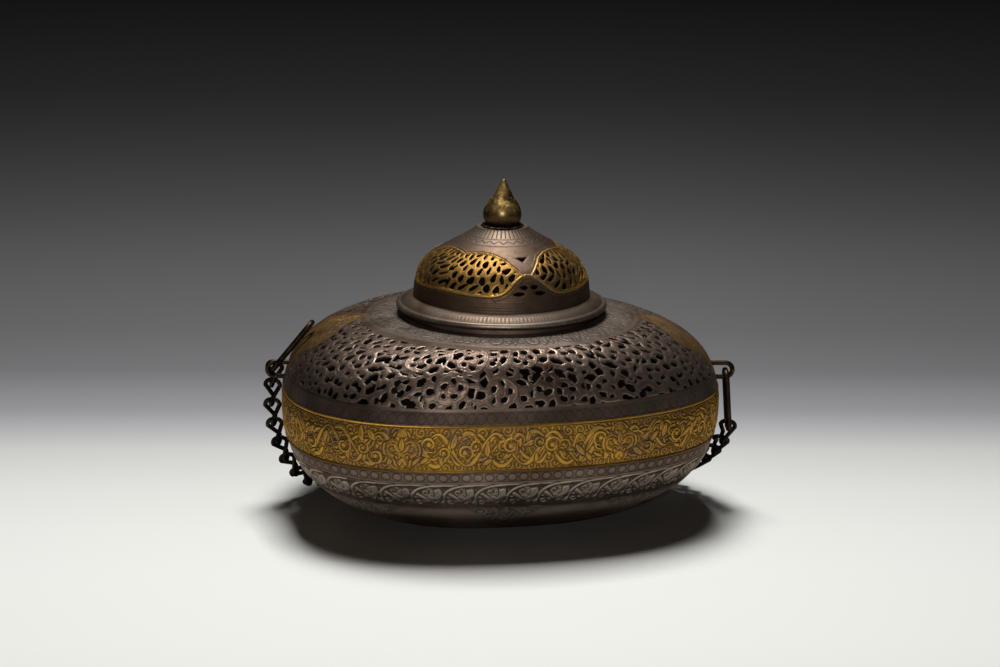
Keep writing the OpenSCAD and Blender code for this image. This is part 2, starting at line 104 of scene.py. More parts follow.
class LidSizes(bpy.types.PropertyGroup):
    foot_r: size("Dome foot radius", 44.05, "Radius of the dome's foot")
    foot_z: size("Dome foot height", 112.2, "Height of the dome's foot")
    top_r: size("Dome top radius", 12.6, "Radius of the dome's flat top")
    top_z: size("Dome top height", 146.8, "Height of the dome's flat top")
    turn_in: size("Turn inset", 7.2, "Inset of the dome's turn from its foot")
    turn_h: size("Turn height", 19.4, "Height of the dome's turn over its foot")
    wall: size("Lid wall", 1.2, "Thickness of the lid's sheet")
    pattern_turn: turn("Pattern turn", 16.5, "Turn of the lid's pattern from the front")


class MetalColours(bpy.types.PropertyGroup):
    steel: tint("Steel", "#806d61", "Patinated steel")
    lid_steel: tint("Lid steel", "#5c4d40", "Browner steel of the lid")
    lid_rust: tint("Lid patina", "#4a3120", "Brown patina of the lid")
    # This colour also paints painted sheen: the lighter band under the lower bowl and part of the collar's
    # lightness
    rubbed: tint("Rubbed steel", "#a89c8f", "Steel rubbed bright on raised edges")
    rust: tint("Brown patina", "#3f2c1f", "Brown patina in patches")
    # The cut colour also paints the shade on every inside skin
    cut: tint("Cut lines", "#130e0b", "Dirt in chased lines and low ground")
    gilt: tint("Gilding", "#bf913d", "Matt old gilding")
    gilt_low: tint("Gilding ground", "#6f5027", "Darker ground of the gilt relief")
    brass: tint("Brass", "#cba365", "Old brass of the finial")
    bronze: tint("Bronze", "#46372a", "Long links and staples")
    iron: tint("Iron", "#352d27", "Iron chain")
    floor: tint("Floor", "#f0f0ea", "Pale floor")


# Meshes

# A piece's material, the body that it rides on, its slot there and the CAD node that it replaces
Seat = namedtuple("Seat", "material body slot node")


def piece(name, points, faces, seat, values=None, sharp=None):
    """A mesh object from points in millimetres and one or more arrays of faces, on its seat.
    Each named value becomes a float attribute of the points."""
    groups = faces if isinstance(faces, list) else [faces]
    corners = np.concatenate([g.ravel() for g in groups])
    sides = np.concatenate([np.full(len(g), g.shape[1]) for g in groups])
    mesh = bpy.data.meshes.new(name)
    mesh.vertices.add(len(points))
    mesh.vertices.foreach_set("co", np.ascontiguousarray(points * MM, np.float32).ravel())
    mesh.loops.add(len(corners))
    mesh.loops.foreach_set("vertex_index", np.ascontiguousarray(corners, np.int32))
    mesh.polygons.add(len(sides))
    mesh.polygons.foreach_set("loop_start", np.ascontiguousarray(np.cumsum(sides) - sides, np.int32))
    mesh.polygons.foreach_set("use_smooth", np.ones(len(sides), bool))
    for key, array in (values or {}).items():
        layer = mesh.attributes.new(key, "FLOAT", "POINT")
        layer.data.foreach_set("value", np.ascontiguousarray(array, np.float32).ravel())
    mesh.update(calc_edges=True)
    mesh.validate()
    if sharp:
        mesh.set_sharp_from_angle(angle=math.radians(sharp))
    mesh.materials.append(bpy.data.materials[seat.material])
    obj = bpy.data.objects.new(name, mesh)
    bpy.context.scene.collection.objects.link(obj)
    if seat.body:
        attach(obj, seat.body)
        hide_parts(seat.node)
    return obj


def grid_faces(rows, columns, wrap_rows=False, wrap_columns=False):
    """Quads of a grid whose points run row by row.
    They face outwards when columns run anticlockwise and rows upwards."""
    i = np.arange(rows if wrap_rows else rows - 1)[:, None]
    j = np.arange(columns if wrap_columns else columns - 1)[None, :]
    i2, j2 = (i + 1) % rows, (j + 1) % columns
    corners = [i * columns + j, i * columns + j2, i2 * columns + j2, i2 * columns + j]
    return np.stack(corners, -1).reshape(-1, 4)


def normals_of(points):
    """Unit normals of a grid that closes round its columns: the cross of its two differences."""
    across = np.roll(points, -1, 1) - np.roll(points, 1, 1)
    up = np.gradient(points, axis=0)
    n = np.cross(across, up)
    return n / np.maximum(np.linalg.norm(n, axis=-1, keepdims=True), 1e-9)


def pole_faces(rows, count):
    """Faces of a ring grid that is closed at both ends by a point: the two points follow the grid's own."""
    j = np.arange(count)
    k = (j + 1) % count
    low, high = np.full(count, rows * count), np.full(count, rows * count + 1)
    top = (rows - 1) * count
    return [grid_faces(rows, count, wrap_columns=True),
            np.stack([low, k, j], -1), np.stack([top + j, top + k, high], -1)]


def arcs(count, parts):
    """Column numbers of equal arcs of a ring that share their end columns.
    The first one has the front in its middle."""
    edge = np.round(np.linspace(0, count, parts + 1)).astype(int) + count // 4 - count // (2 * parts)
    return [np.arange(edge[k], edge[k + 1] + 1) % count for k in range(parts)]


def cap_faces(rows, outside, count):
    """Triangles over both ends of a loop of rows: a strip between the outside rows, which run up,
    and the fewer inside rows, which run down, matched by their share of the height."""
    i = np.arange(outside - 1)
    match = np.round(np.arange(outside) * (rows - outside - 1) / (outside - 1)).astype(int)
    inner = rows - 1 - match
    steps = np.flatnonzero(np.diff(match))
    strip = np.concatenate([
        np.stack([i, i + 1, inner[:-1]], -1),
        np.stack([steps + 1, inner[steps + 1], inner[steps]], -1)]) * count
    return [strip, strip[:, ::-1] + count - 1]


def sheet_pieces(name, outer, normals, wall, inside_rows, parts, seat, values):
    """A band of sheet in some arcs of a ring: the outside rows from low to high, then a few rows
    a wall's thickness inside them from high to low, with capped ends.
    The inside is painted dark as shade and has none of the outside's work."""
    rows, count = outer.shape[:2]
    pick = np.round(np.linspace(rows - 1, 0, inside_rows)).astype(int)
    loop = np.concatenate([outer, outer[pick] - wall * normals[pick]])
    # Inside skins are painted dark through the cut colour, as painted shade
    shown = {key: np.concatenate([v, np.full((inside_rows, count), INSIDE_PAINTED_SHADE * (key == "cut"))])
             for key, v in values.items()}
    for k, columns in enumerate(arcs(count, parts)):
        faces = [grid_faces(len(loop), len(columns), wrap_rows=True),
                 *cap_faces(len(loop), rows, len(columns))]
        piece(f"{name}_{k + 1}", loop[:, columns].reshape(-1, 3), faces, seat,
              {key: v[:, columns].reshape(-1) for key, v in shown.items()}, CHASED_EDGE)


def joined(solid):
    """The part of a solid mask that hangs together with its first and last rows:
    a flood that spreads to all neighbours until it stops growing."""
    reach = np.zeros(solid.shape, bool)
    reach[[0, -1]] = solid[[0, -1]]
    before = -1
    while before != reach.sum():
        before = reach.sum()
        for _ in range(8):
            wide = np.pad(reach, 1)
            beside = wide[:-2, 1:-1] | wide[2:, 1:-1] | wide[1:-1, :-2] | wide[1:-1, 2:]
            reach = (reach | beside) & solid
    return reach


def pierced_pieces(name, points, normals, open_field, wall, parts, seat, values):
    """A pierced sheet in some arcs of a ring."""
    for k, columns in enumerate(arcs(open_field.shape[1], parts)):
        arc = [array[:, columns] for array in (points, normals, open_field)]
        pierced_piece(f"{name}_{k + 1}", *arc, wall, seat, {key: v[:, columns] for key, v in values.items()})


def pierced_piece(name, p, n, f, wall, seat, values):
    """A pierced sheet from points, normals and a field that is positive in the holes. Grid points near
    the field's zero line are moved onto it, triangles inside the holes are dropped, a second skin lies
    a wall's thickness inside, and every free edge gets a wall. Bits that hang on nothing count as hole."""
    rows, count = f.shape
    f = np.where((f < 0) & ~joined(f < 0), 0.2, f)
    gr, gc = np.gradient(f)
    slope = gr * gr + gc * gc + 1e-9
    dr, dc = -f * gr / slope, -f * gc / slope
    inner = np.zeros(f.shape, bool)
    inner[1:-1, 1:-1] = True
    near = (np.maximum(np.abs(dr), np.abs(dc)) < 0.5) & inner
    dr, dc = np.where(near, dr, 0), np.where(near, dc, 0)
    p = p + dr[..., None] * np.gradient(p, axis=0) + dc[..., None] * np.gradient(p, axis=1)
    settled = np.where(near, 0, f)
    i, j = np.arange(rows - 1)[:, None], np.arange(count - 1)[None, :]
    a, b, c, d = i * count + j, i * count + j + 1, (i + 1) * count + j + 1, (i + 1) * count + j
    even = ((i + j) % 2 == 0)[..., None]
    one = np.where(even, np.stack([a, b, c], -1), np.stack([a, b, d], -1))
    two = np.where(even, np.stack([a, c, d], -1), np.stack([b, c, d], -1))
    tris = np.concatenate([one.reshape(-1, 3), two.reshape(-1, 3)])
    middle = settled.ravel()[tris].sum(1)
    middle = np.where(np.abs(middle) < 1e-9, f.ravel()[tris].sum(1), middle)
    tris = tris[middle < 0]
    total = rows * count
    edges = np.concatenate([tris[:, [0, 1]], tris[:, [1, 2]], tris[:, [2, 0]]])
    low, high = edges.min(1).astype(np.int64), edges.max(1).astype(np.int64)
    _, place, uses = np.unique(low * total + high, return_inverse=True, return_counts=True)
    free = edges[uses[place] == 1]
    walls = np.concatenate([
        np.stack([free[:, 1], free[:, 0], free[:, 0] + total], -1),
        np.stack([free[:, 1], free[:, 0] + total, free[:, 1] + total], -1)])
    faces = np.concatenate([tris, tris[:, ::-1] + total, walls])
    both = np.concatenate([p.reshape(-1, 3), (p - wall * n).reshape(-1, 3)])
    used, faces = np.unique(faces, return_inverse=True)
    # Inside skins are painted dark through the cut colour, as painted shade
    shown = {key: np.concatenate([v.ravel(), np.full(total, INSIDE_PAINTED_SHADE * (key == "cut"))])[used]
             for key, v in values.items()}
    piece(name, both[used], faces.reshape(-1, 3), seat, shown, PIERCED_EDGE)


def turned_piece(name, r, z, count, seat, values=None, sharp=None, swell=None, lean=None):
    """A turned solid: the profile (r, z) carried round the axis. A profile that starts and ends on the axis
    closes there in a point; any other closes on itself. Swell adds to the radius, and lean shifts each level
    along X."""
    a = np.linspace(0, TAU, count, endpoint=False)
    radius = r[:, None] + (np.zeros((1, count)) if swell is None else swell(a[None, :], z[:, None]))
    off = np.zeros((len(z), 1)) if lean is None else lean(z)[:, None]
    height = np.broadcast_to(z[:, None], radius.shape)
    pts = np.stack([radius * np.cos(a) + off, radius * np.sin(a), height], -1)
    if r[0] == 0 and r[-1] == 0:
        ends = np.array([[off[0, 0], 0, z[0]], [off[-1, 0], 0, z[-1]]])
        faces, pts = pole_faces(len(r) - 2, count), np.concatenate([pts[1:-1].reshape(-1, 3), ends])
    else:
        faces, pts = grid_faces(len(r), count, wrap_rows=True, wrap_columns=True), pts.reshape(-1, 3)
    piece(name, pts, faces, seat, values, sharp)


# Drawing of the chased patterns: arrays of millimetres in, soft masks out

def smooth(low, high, x):
    """0 below low, 1 above high, an S curve between."""
    k = np.clip((x - low) / (high - low), 0, 1)
    return k * k * (3 - 2 * k)


def line(distance, half, soft=0.16):
    """1 on a line of that half width, with a soft edge."""
    return np.clip(0.5 + (half - np.abs(distance)) / (2 * soft), 0, 1)


def fill(distance, soft=0.16):
    """1 where the signed distance is negative, with a soft edge."""
    return np.clip(0.5 - distance / (2 * soft), 0, 1)


def any_of(*masks):
    """The highest of some masks."""
    out = masks[0]
    for m in masks[1:]:
        out = np.maximum(out, m)
    return out


def chance(n):
    """A fixed fraction from 0 to 1 for each whole number: the broken part of a large sine."""
    return np.mod(np.abs(np.sin(n * 12.9898 + 4.1414) * 43758.5453), 1)


def turned(x, y, degrees):
    """Coordinates in axes turned by an angle."""
    c, s = np.cos(np.radians(degrees)), np.sin(np.radians(degrees))
    return c * x + s * y, c * y - s * x


def leaf(x, y, length, width, bend=0.0, blunt=0.7):
    """Signed distance to a leaf that starts at the origin and points along x.
    Its half width is a power of a half sine."""
    u = np.clip(x / length, 0, 1)
    half = width / 2 * np.sin(np.pi * u) ** blunt * (1.15 - 0.3 * u)
    d = np.abs(y - bend * length * u * u) - half
    return np.maximum(d, np.maximum(-x, x - length))


def sawn_hole(x, y, length, width, widest):
    """Signed distance to a straight-sided hole that starts at the origin and points along x.
    Its half width grows evenly to a flat stretch about its widest place and shrinks evenly again."""
    u = np.clip(x / length, 0, 1)
    half = width / 2 * np.clip(1.8 * np.minimum(u / widest, (1 - u) / (1 - widest)), 0, 1)
    return np.maximum(np.abs(y) - half, np.maximum(-x, x - length))


def spiral(x, y, gap, reach, hand, start=0.0):
    """Distance to a flat spiral whose arms are a gap apart, out to its reach."""
    r = np.hypot(x, y)
    f = r / gap - hand * np.arctan2(y, x) / TAU - start
    d = np.abs(f - np.round(f)) * gap
    return np.where(r < reach, d, d + (r - reach) * 3)


def cell(s, pitch):
    """Number of the cell of a pitch that each s lies in, and its place from the middle of that cell."""
    k = np.floor(s / pitch)
    return k, s - (k + 0.5) * pitch


def stem(x, y, rise, pitch, phase=0.0):
    """Distance to a wave, measured square to it:
    the height over a sine divided by the root of one and its slope squared."""
    a = TAU * x / pitch + phase
    return (y - rise * np.sin(a)) / np.sqrt(1 + (rise * TAU / pitch * np.cos(a)) ** 2)


STROKE_SOFT = 0.17


class Chasing:
    """Chased relief in layers: height, dark lines and rubbed places.
    A new stroke covers those under it and is outlined."""

    def __init__(self, shape):
        self.height, self.cut, self.rub = np.zeros(shape), np.zeros(shape), np.zeros(shape)

    def stroke(self, distance, height=1.0, edge=0.42, rub=1.0):
        """Raises the surface where the distance is negative and darkens an outline of that width round it."""
        body, halo = fill(distance, STROKE_SOFT), fill(distance - edge, STROKE_SOFT)
        self.cut = np.maximum(self.cut * (1 - halo), halo * (1 - body))
        self.height = self.height * (1 - halo) + body * height
        self.rub = self.rub * (1 - halo) + body * rub

    def leaf(self, x, y, length, width, bend=0.0, height=1.0, edge=0.42):
        """A raised leaf with a vein cut along its middle."""
        d = leaf(x, y, length, width, bend)
        self.stroke(d, height, edge)
        u = np.clip(x / length, 0, 1)
        self.cut = np.maximum(self.cut, 0.75 * line(y - bend * length * u * u, 0.12) * fill(d + 0.6))


def oval_beads(s, y, pitch, wide, high):
    """Signed distance to a row of upright ovals, one per pitch."""
    _, x = cell(s, pitch)
    return np.hypot(x, y * wide / high) - wide / 2


LEAF_PITCH = 14.8
# Leaves of one unit as place, turn, length, width and bend; its curls as place, gap, reach and hand
UNIT_LEAVES = ((14.2, 3.9, -124, 11.8, 6.2, -0.22), (10.2, 4.9, -104, 5.6, 2.2, 0.3),
               (13.2, -6.0, 44, 4.2, 1.8, 0.1), (5.6, 4.5, -16, 5.2, 1.7, 0.15))
UNIT_CURLS = ((2.8, -0.6, 1.8, 2.0, -1), (3.2, -4.4, 1.6, 1.7, 1),
              (7.6, 1.9, 1.9, 2.4, 1), (10.8, -4.4, 1.7, 1.9, -1))


def running_leaf(c, s, y):
    """Lays one leafy unit per pitch: a stem that rises and arches over along the top, a fat half palmette
    under it, a slanting leaf across and small spirals. y runs from -6.6 to 6.6, and the arch is a quarter
    of a superellipse."""
    _, x = cell(s, LEAF_PITCH)
    x = x + LEAF_PITCH / 2
    arch = ((np.abs(x - LEAF_PITCH) / 15) ** 2.7 + (np.maximum(y + 6.5, 0) / 12.4) ** 2.7) ** (1 / 2.7) - 1
    for at_x, at_y, angle, length, width, bend in UNIT_LEAVES:
        c.leaf(*turned(x - at_x, y - at_y, angle), length, width, bend, 1.0, 0.36)
    for at_x, at_y, gap, reach, hand in UNIT_CURLS:
        c.stroke(spiral(x - at_x, y - at_y, gap, reach, hand, 0.2) - 0.46, 0.9, 0.32)
    c.leaf(*turned(x - 0.8, y - 3.6, -49), 11.8, 2.0, 0.08, 1.0, 0.36)
    c.stroke(np.abs(y - 6.1) - 0.42, 0.9, 0.3)
    c.stroke(np.abs(arch) * 13.0 - 0.66, 1.0, 0.42)


# Scrollwork: waves as number round the band, rise, half width and phase; layers of leaves as number of
# stretches, length and width; flowers as number of stretches, gap between turns, reach and half width
WAVES = ((46, 0.60, 0.48, 0.4), (33, 0.72, 0.60, 2.2), (27, 0.50, 0.62, 0.9),
         (20, 0.84, 0.78, 1.6), (23, 0.78, 0.74, 4.0))
LEAF_LAYERS = ((84, 5.0, 1.8), (64, 5.8, 2.2), (50, 6.8, 2.5), (42, 7.8, 2.7))
FLOWERS = ((44, 1.9, 3.1, 0.5), (30, 2.7, 4.0, 0.68))


def arabesque(c, s, y, length, high):
    """Lays freely crossing scrollwork over a band of that length and half height: fine spirals for ground,
    waves of unlike pitch that swell and thin, then leaves and flowering spirals, each at its own place."""
    for row, level in enumerate((-0.84, -0.42, 0.0, 0.42, 0.84)):
        n, x = cell(s + 2.9 * row, length / 108)
        hand = 1 - 2 * np.mod(n + row, 2)
        v = (y - high * (level + 0.14 * (chance(n + 5 * row) - 0.5))) * hand
        c.stroke(spiral(x, v, 1.65, 2.9, 1, chance(n + 17 * row)) - 0.42, 0.7, 0.3, rub=0.75)
    for waves, rise, half, phase in WAVES:
        swell = half * (1 + 0.4 * np.sin(TAU * s / length * (waves * 2 + 1) + phase))
        c.stroke(np.abs(stem(s, y, high * rise, length / waves, phase)) - swell, 0.9, 0.34, rub=0.9)
    for layer, (stretches, long, wide) in enumerate(LEAF_LAYERS):
        n, x = cell(s + 4.3 * layer, length / stretches)
        a, b = chance(n + 31 * layer), chance(n * 1.7 + 11 + layer)
        angle = np.where(b > 0.5, 62, -62) + 50 * (a - 0.5) + 180 * (chance(n + 3) > 0.5)
        lx, ly = turned(x, y - high * 1.3 * (chance(n * 2.3 + layer) - 0.5), angle)
        c.leaf(lx + long / 2, ly, long, wide, 0.6 * (a - 0.5), 1.0, 0.34)
    for stretches, gap, reach, thick in FLOWERS:
        n, x = cell(s, length / stretches)
        a, b = chance(n + 2), chance(n * 1.3 + 8)
        px, py = x - 5.0 * (a - 0.5), (y - high * 1.0 * (b - 0.5)) * np.where(a > 0.5, 1, -1)
        c.stroke(spiral(px, py, gap, reach, 1, b) - thick, 1.0, 0.34)
        c.stroke(np.hypot(px, py) - 0.45 * gap - 0.25 * np.cos(5 * np.arctan2(py, px)), 1.0, 0.34)


# A medal's curls as place, gap between turns and reach; its leaves as turn, foot, length, width and bend
MEDAL_CURLS = ((4.6, 0.4, 1.8, 2.5), (2.3, -3.6, 1.6, 1.9), (2.4, 5.4, 1.5, 1.6))
MEDAL_LEAVES = ((28, -1.4, 5.6, 2.2, 0.35), (-58, -4.2, 4.6, 1.8, -0.2),
                (64, 2.6, 4.8, 1.6, -0.2), (90, -1.0, 6.8, 2.8, 0.0))


def lozenge_medal(c, x, y, half_w, half_h):
    """Lays a cusped lozenge over the scrollwork: a low ground, a thin outline, and inside it a bud
    over a foot of leaves with spirals on both sides."""
    k = np.abs(x) / half_w + np.abs(y) / half_h
    edge = (k - 1 + 0.08 * np.cos(TAU * 2 * np.abs(y) / half_h)) * half_w * 0.72
    c.stroke(edge - 0.5, 0.55, 0.3, rub=0.7)
    c.stroke(np.abs(edge) - 0.42, 1.0, 0.34)
    ax = np.abs(x)
    for at_x, at_y, gap, reach in MEDAL_CURLS:
        c.stroke(spiral(ax - at_x, y - at_y, gap, reach, -1, 0.3) - 0.42, 0.9, 0.32)
    for angle, at_y, length, width, bend in MEDAL_LEAVES:
        c.leaf(*turned(ax, y - at_y, angle), length, width, bend, 1.0, 0.34)


# The bowl's skin

def ease(k, n):
    """Quarter of a superellipse: 1 at k = 0, 0 at k = 1."""
    return np.maximum(1 - k ** n, 0) ** (1 / n)


def bowl_sizes():
    """The bowl's sizes in millimetres."""
    group = bpy.context.scene.bowl_sizes
    return SimpleNamespace(**{k: getattr(group, k) / MM for k in BowlSizes.__annotations__})


def lid_sizes():
    """The lid's sizes in millimetres, and the turn of its pattern in degrees."""
    group = bpy.context.scene.lid_sizes
    out = SimpleNamespace(**{k: getattr(group, k) / MM for k in LidSizes.__annotations__})
    out.pattern_turn = math.degrees(group.pattern_turn)
    return out


UNDER_POWER, SHOULDER_X, SHOULDER_Y, PLAN_POWER, EGG = 2.5, 2.33, 3.37, 2.47, 0.16


def skin(b, t, z):
    """Outside of the bowl at angle t and height z: a superellipse plan that narrows towards +X,
    whose half axes follow superellipse quarters below and above the widest level."""
    lift = np.clip((z - b.belly) / b.rise, 0, 1)
    sink = np.clip((b.belly - z) / b.under, 0, 1)
    below = z < b.belly
    hx = np.where(below, b.half_length * ease(sink, UNDER_POWER),
                  b.neck + (b.half_length - b.neck) * ease(lift, SHOULDER_X))
    hy = np.where(below, b.half_depth * ease(sink, UNDER_POWER),
                  b.neck + (b.half_depth - b.neck) * ease(lift, SHOULDER_Y))
    n = 2 / (PLAN_POWER + (2 - PLAN_POWER) * lift)
    u = np.sign(np.cos(t)) * np.abs(np.cos(t)) ** n
    w = np.sign(np.sin(t)) * np.abs(np.sin(t)) ** n
    return np.stack(np.broadcast_arrays(hx * u, hy * w * (1 - EGG * ease(lift, SHOULDER_Y) * u), z), -1)


def run_of(points):
    """Distance run along the first axis of some points, from 0, as a mean over any further axis."""
    step = np.linalg.norm(np.diff(points, axis=0), axis=-1)
    return np.concatenate([[0], np.cumsum(step if step.ndim == 1 else step.mean(1))])


def even_angles(b, count):
    """Angles of columns that lie evenly along a level just over the widest one,
    from the left end round the front."""
    t = np.linspace(-np.pi, np.pi, 14401)
    run = run_of(skin(b, t, np.full_like(t, b.belly + 8)))
    return np.interp(np.arange(count) / count * run[-1], run, t)


def even_rows(b, low, high, count):
    """Heights of rows that lie evenly along the skin, by their mean distance round the bowl."""
    k = np.linspace(0, 1, 1501)
    z = low + (high - low) * (1 - np.cos(np.pi * k)) / 2
    run = run_of(skin(b, np.linspace(0, TAU, 48, endpoint=False)[None, :], z[:, None]))
    return np.interp(np.linspace(0, run[-1], count), run, z)


def bowl_grid(b, low, high, rows, count):
    """Points and normals of a band of the skin; each point's share of its level's length from the front,
    that length, and the point's rise along its column, in millimetres."""
    t = even_angles(b, count)
    z = even_rows(b, low, high, rows)
    p = skin(b, t[None, :], z[:, None])
    step = np.linalg.norm(np.roll(p, -1, 1) - p, axis=-1)
    length = step.sum(1, keepdims=True)
    share = (np.cumsum(step, 1) - step) / length
    front = np.argmin(np.abs(t + np.pi / 2))
    share = share - share[:, front:front + 1]
    up = np.concatenate([np.zeros((1, count)), np.cumsum(np.linalg.norm(np.diff(p, axis=0), axis=-1), 0)])
    return p, normals_of(p), share, length, up


# Shader maths

class Shade:
    """A socket of a material's nodes. Python operators on it add Math nodes."""

    def __init__(self, tree, socket=None):
        self.tree, self.socket = tree, socket

    def node(self, kind, settings=None, inputs=None, output=0):
        """Any other node: its type, its settings, then the values or links of its sockets."""
        n = self.tree.nodes.new("ShaderNode" + kind)
        for key, value in (settings or {}).items():
            if key == "stops":
                ramp = n.color_ramp.elements
                while len(ramp) < len(value):
                    ramp.new(0.5)
                for element, (at, colour) in zip(ramp, value):
                    element.position = at
                    element.color = (*colour, 1) if len(colour) == 3 else colour
            else:
                setattr(n, key, value)
        for key, value in (inputs or {}).items():
            if isinstance(value, Shade):
                self.tree.links.new(value.socket, n.inputs[key])
            else:
                n.inputs[key].default_value = value
        return Shade(self.tree, n.outputs[output])

    def math(self, operation, first, second=0.5, clamp=False):
        return self.node("Math", {"operation": operation, "use_clamp": clamp}, {0: first, 1: second})

    def __add__(self, other):
        return self.math("ADD", self, other)

    def __radd__(self, other):
        return self.math("ADD", other, self)

    def __sub__(self, other):
        return self.math("SUBTRACT", self, other)

    def __rsub__(self, other):
        return self.math("SUBTRACT", other, self)

    def __mul__(self, other):
        return self.math("MULTIPLY", self, other)

    def __rmul__(self, other):
        return self.math("MULTIPLY", other, self)

    def __truediv__(self, other):
        return self.math("DIVIDE", self, other)

    def __rtruediv__(self, other):
        return self.math("DIVIDE", other, self)

    def step(self, low, high):
        """0 below low, 1 above high, a smooth curve between."""
        return self.node("MapRange", {"interpolation_type": "SMOOTHSTEP"}, {0: self, 1: low, 2: high})

    def clamped(self):
        return self.math("ADD", self, 0.0, True)

    def mix(self, first, second):
        """Colour mixed by this value: first at 0, second at 1."""
        four = lambda c: c if isinstance(c, Shade) else (*c, 1)
        return self.node("Mix", {"data_type": "RGBA"}, {0: self, 6: four(first), 7: four(second)}, 2)

    def attribute(self, name):
        return self.node("Attribute", {"attribute_name": name}, output="Fac")

    def noise(self, scale, detail=3.0, roughness=0.55, distortion=0.0, where=None):
        """Noise of that many grains per metre on Object coordinates."""
        where = where or self.node("TexCoord", output="Object")
        return self.node("TexNoise", None, {"Vector": where, "Scale": scale, "Detail": detail,
                                            "Roughness": roughness, "Distortion": distortion})


def new_material(name):
    """An empty node material: a start for shader maths, and its Principled shader."""
    material = bpy.data.materials.new(name)
    material.use_nodes = True
    tree = material.node_tree
    tree.nodes.clear()
    out = tree.nodes.new("ShaderNodeOutputMaterial")
    shader = tree.nodes.new("ShaderNodeBsdfPrincipled")
    tree.links.new(shader.outputs[0], out.inputs[0])
    return Shade(tree), shader


def connect(shade, shader, **sockets):
    """Links or sets the named sockets of a shader; underscores stand for spaces."""
    for key, value in sockets.items():
        socket = shader.inputs[key.replace("_", " ")]
        if isinstance(value, Shade):
            shade.tree.links.new(value.socket, socket)
        else:
            socket.default_value = value


def bump(shade, height, strength, distance):
    return shade.node("Bump", None, {"Strength": strength, "Distance": distance, "Height": height}, "Normal")


def colour(name):
    return tuple(getattr(bpy.context.scene.metal_colours, name))


def chased_steel(name, tone, patina, least_rough):
    """Patinated steel, with rubbed edges and painted sheen, dark cut lines, painted shade on inside skins,
    gilding and matt places as the attributes say.
    """
    s, shader = new_material(name)
    cloud, patch, grain = s.noise(55, 6, 0.65), s.noise(17, 4, 0.55, 0.6), s.noise(900, 3, 0.6)
    speck = s.noise(330, 4, 0.65)
    gilt, cut, rub = s.attribute("gilt"), s.attribute("cut"), s.attribute("rub")
    brown = (patch.step(0.40, 0.64) * 0.75).mix(tone, patina)
    dim = tuple(0.4 * c for c in tone)
    body = (cloud.step(0.38, 0.72) * 0.6 + speck.step(0.5, 0.75) * 0.35).clamped().mix(brown, dim)
    bright = (rub * cloud.step(0.2, 0.6) * (0.55 + speck * 0.6)).clamped().mix(body, colour("rubbed"))
    shine = (cloud.step(0.3, 0.7) * 0.4 + rub * 0.6 + 0.05).clamped()
    gold_tone = shine.mix(colour("gilt_low"), colour("gilt"))
    spots, areas = s.noise(120, 5, 0.66).step(0.50, 0.68), s.noise(26, 3, 0.5).step(0.52, 0.70)
    dirt = (spots * 0.5 + areas * 0.35).clamped()
    worn = gilt.mix(bright, body)
    gilded = (gilt * (1 - dirt)).mix(worn, gold_tone)
    final = (cut * (0.86 - gilt * 0.04)).mix(gilded, colour("cut"))
    rough = least_rough + cloud * 0.22 + cut * 0.25 - rub * 0.06 + gilt * 0.04 + (speck - 0.5) * 0.2
    metal = (0.94 - cut * 0.4 - s.attribute("matt") * 0.6).clamped()
    connect(s, shader, Base_Color=final, Roughness=rough.clamped(), Metallic=metal,
            Specular_Tint=(0.7, 0.62, 0.55, 1),
            Normal=bump(s, grain * 0.35 + speck * 0.5 + s.noise(140, 4) * 0.9, 0.30, 0.0004))


def plain_steel():
    """Patinated steel without chasing, for the base, the mouth ring and the lid's flat top."""
    s, shader = new_material("plain_steel")
    cloud, patch, grain = s.noise(42, 5, 0.6), s.noise(16, 3, 0.5, 0.5), s.noise(700, 3, 0.6)
    brown = (patch.step(0.36, 0.62) * 0.8).mix(tuple(1.15 * c for c in colour("steel")), colour("rust"))
    final = (cloud.step(0.35, 0.8) * 0.5).mix(brown, colour("cut"))
    connect(s, shader, Base_Color=final, Metallic=0.9,
            Roughness=(0.40 + cloud * 0.24 + (grain - 0.5) * 0.1).clamped(),
            Normal=bump(s, grain * 0.5 + s.noise(160, 4), 0.25, 0.0003))


def old_metal(name, tone, bright, dark, rough, scale, edge, painted_shade_heights=None):
    """Wrought metal with hammer marks, dark hollows and rubbed high places; edge is the grey of its glancing
    reflection. Between the two heights of painted shade it turns from painted dark below to clean."""
    s, shader = new_material(name)
    cloud, fine, pits = s.noise(scale, 4, 0.6), s.noise(scale * 5, 4, 0.6), s.noise(scale * 14, 3, 0.6)
    base = cloud.step(0.35, 0.7).mix(dark, tone)
    final = (fine.step(0.52, 0.74) * 0.7).mix(base, bright)
    # Painted shade: below these heights the metal is painted dark, standing for the shade and dark reflection
    # under the finial's bulb
    if painted_shade_heights:
        height = s.node("SeparateXYZ", None, {0: s.node("TexCoord", output="Object")}, 2)
        final = (height + (cloud - 0.5) * 0.004).step(*painted_shade_heights).mix(dark, final)
    connect(s, shader, Base_Color=final, Metallic=0.9, Specular_Tint=(edge, edge * 0.92, edge * 0.85, 1),
            Roughness=(rough + (fine - 0.5) * 0.3 + (pits - 0.5) * 0.12).clamped(),
            Normal=bump(s, cloud * 0.6 + fine * 0.5 + pits * 0.2, 0.35, 0.0005))


# Operators

class Maker(bpy.types.Operator):
    """Base of the operators that make pieces."""
    bl_options = {"INTERNAL"}

    def execute(self, context):
        self.make()
        return {"FINISHED"}


# Columns round the gilt band and round the openwork, arcs of a chased band, and how far under
# the openwork's foot the band and the openwork meet
BAND_COLUMNS, OPEN_COLUMNS, ARC_COUNT, JOINT_DROP = 1680, 1248, 3, 0.6
LOWER_BOWL = Seat("chased_steel", "bowl", "patinated_steel", "lower_bowl")
SHELL = Seat("chased_steel", "bowl", "patinated_steel", "pierced_shell")


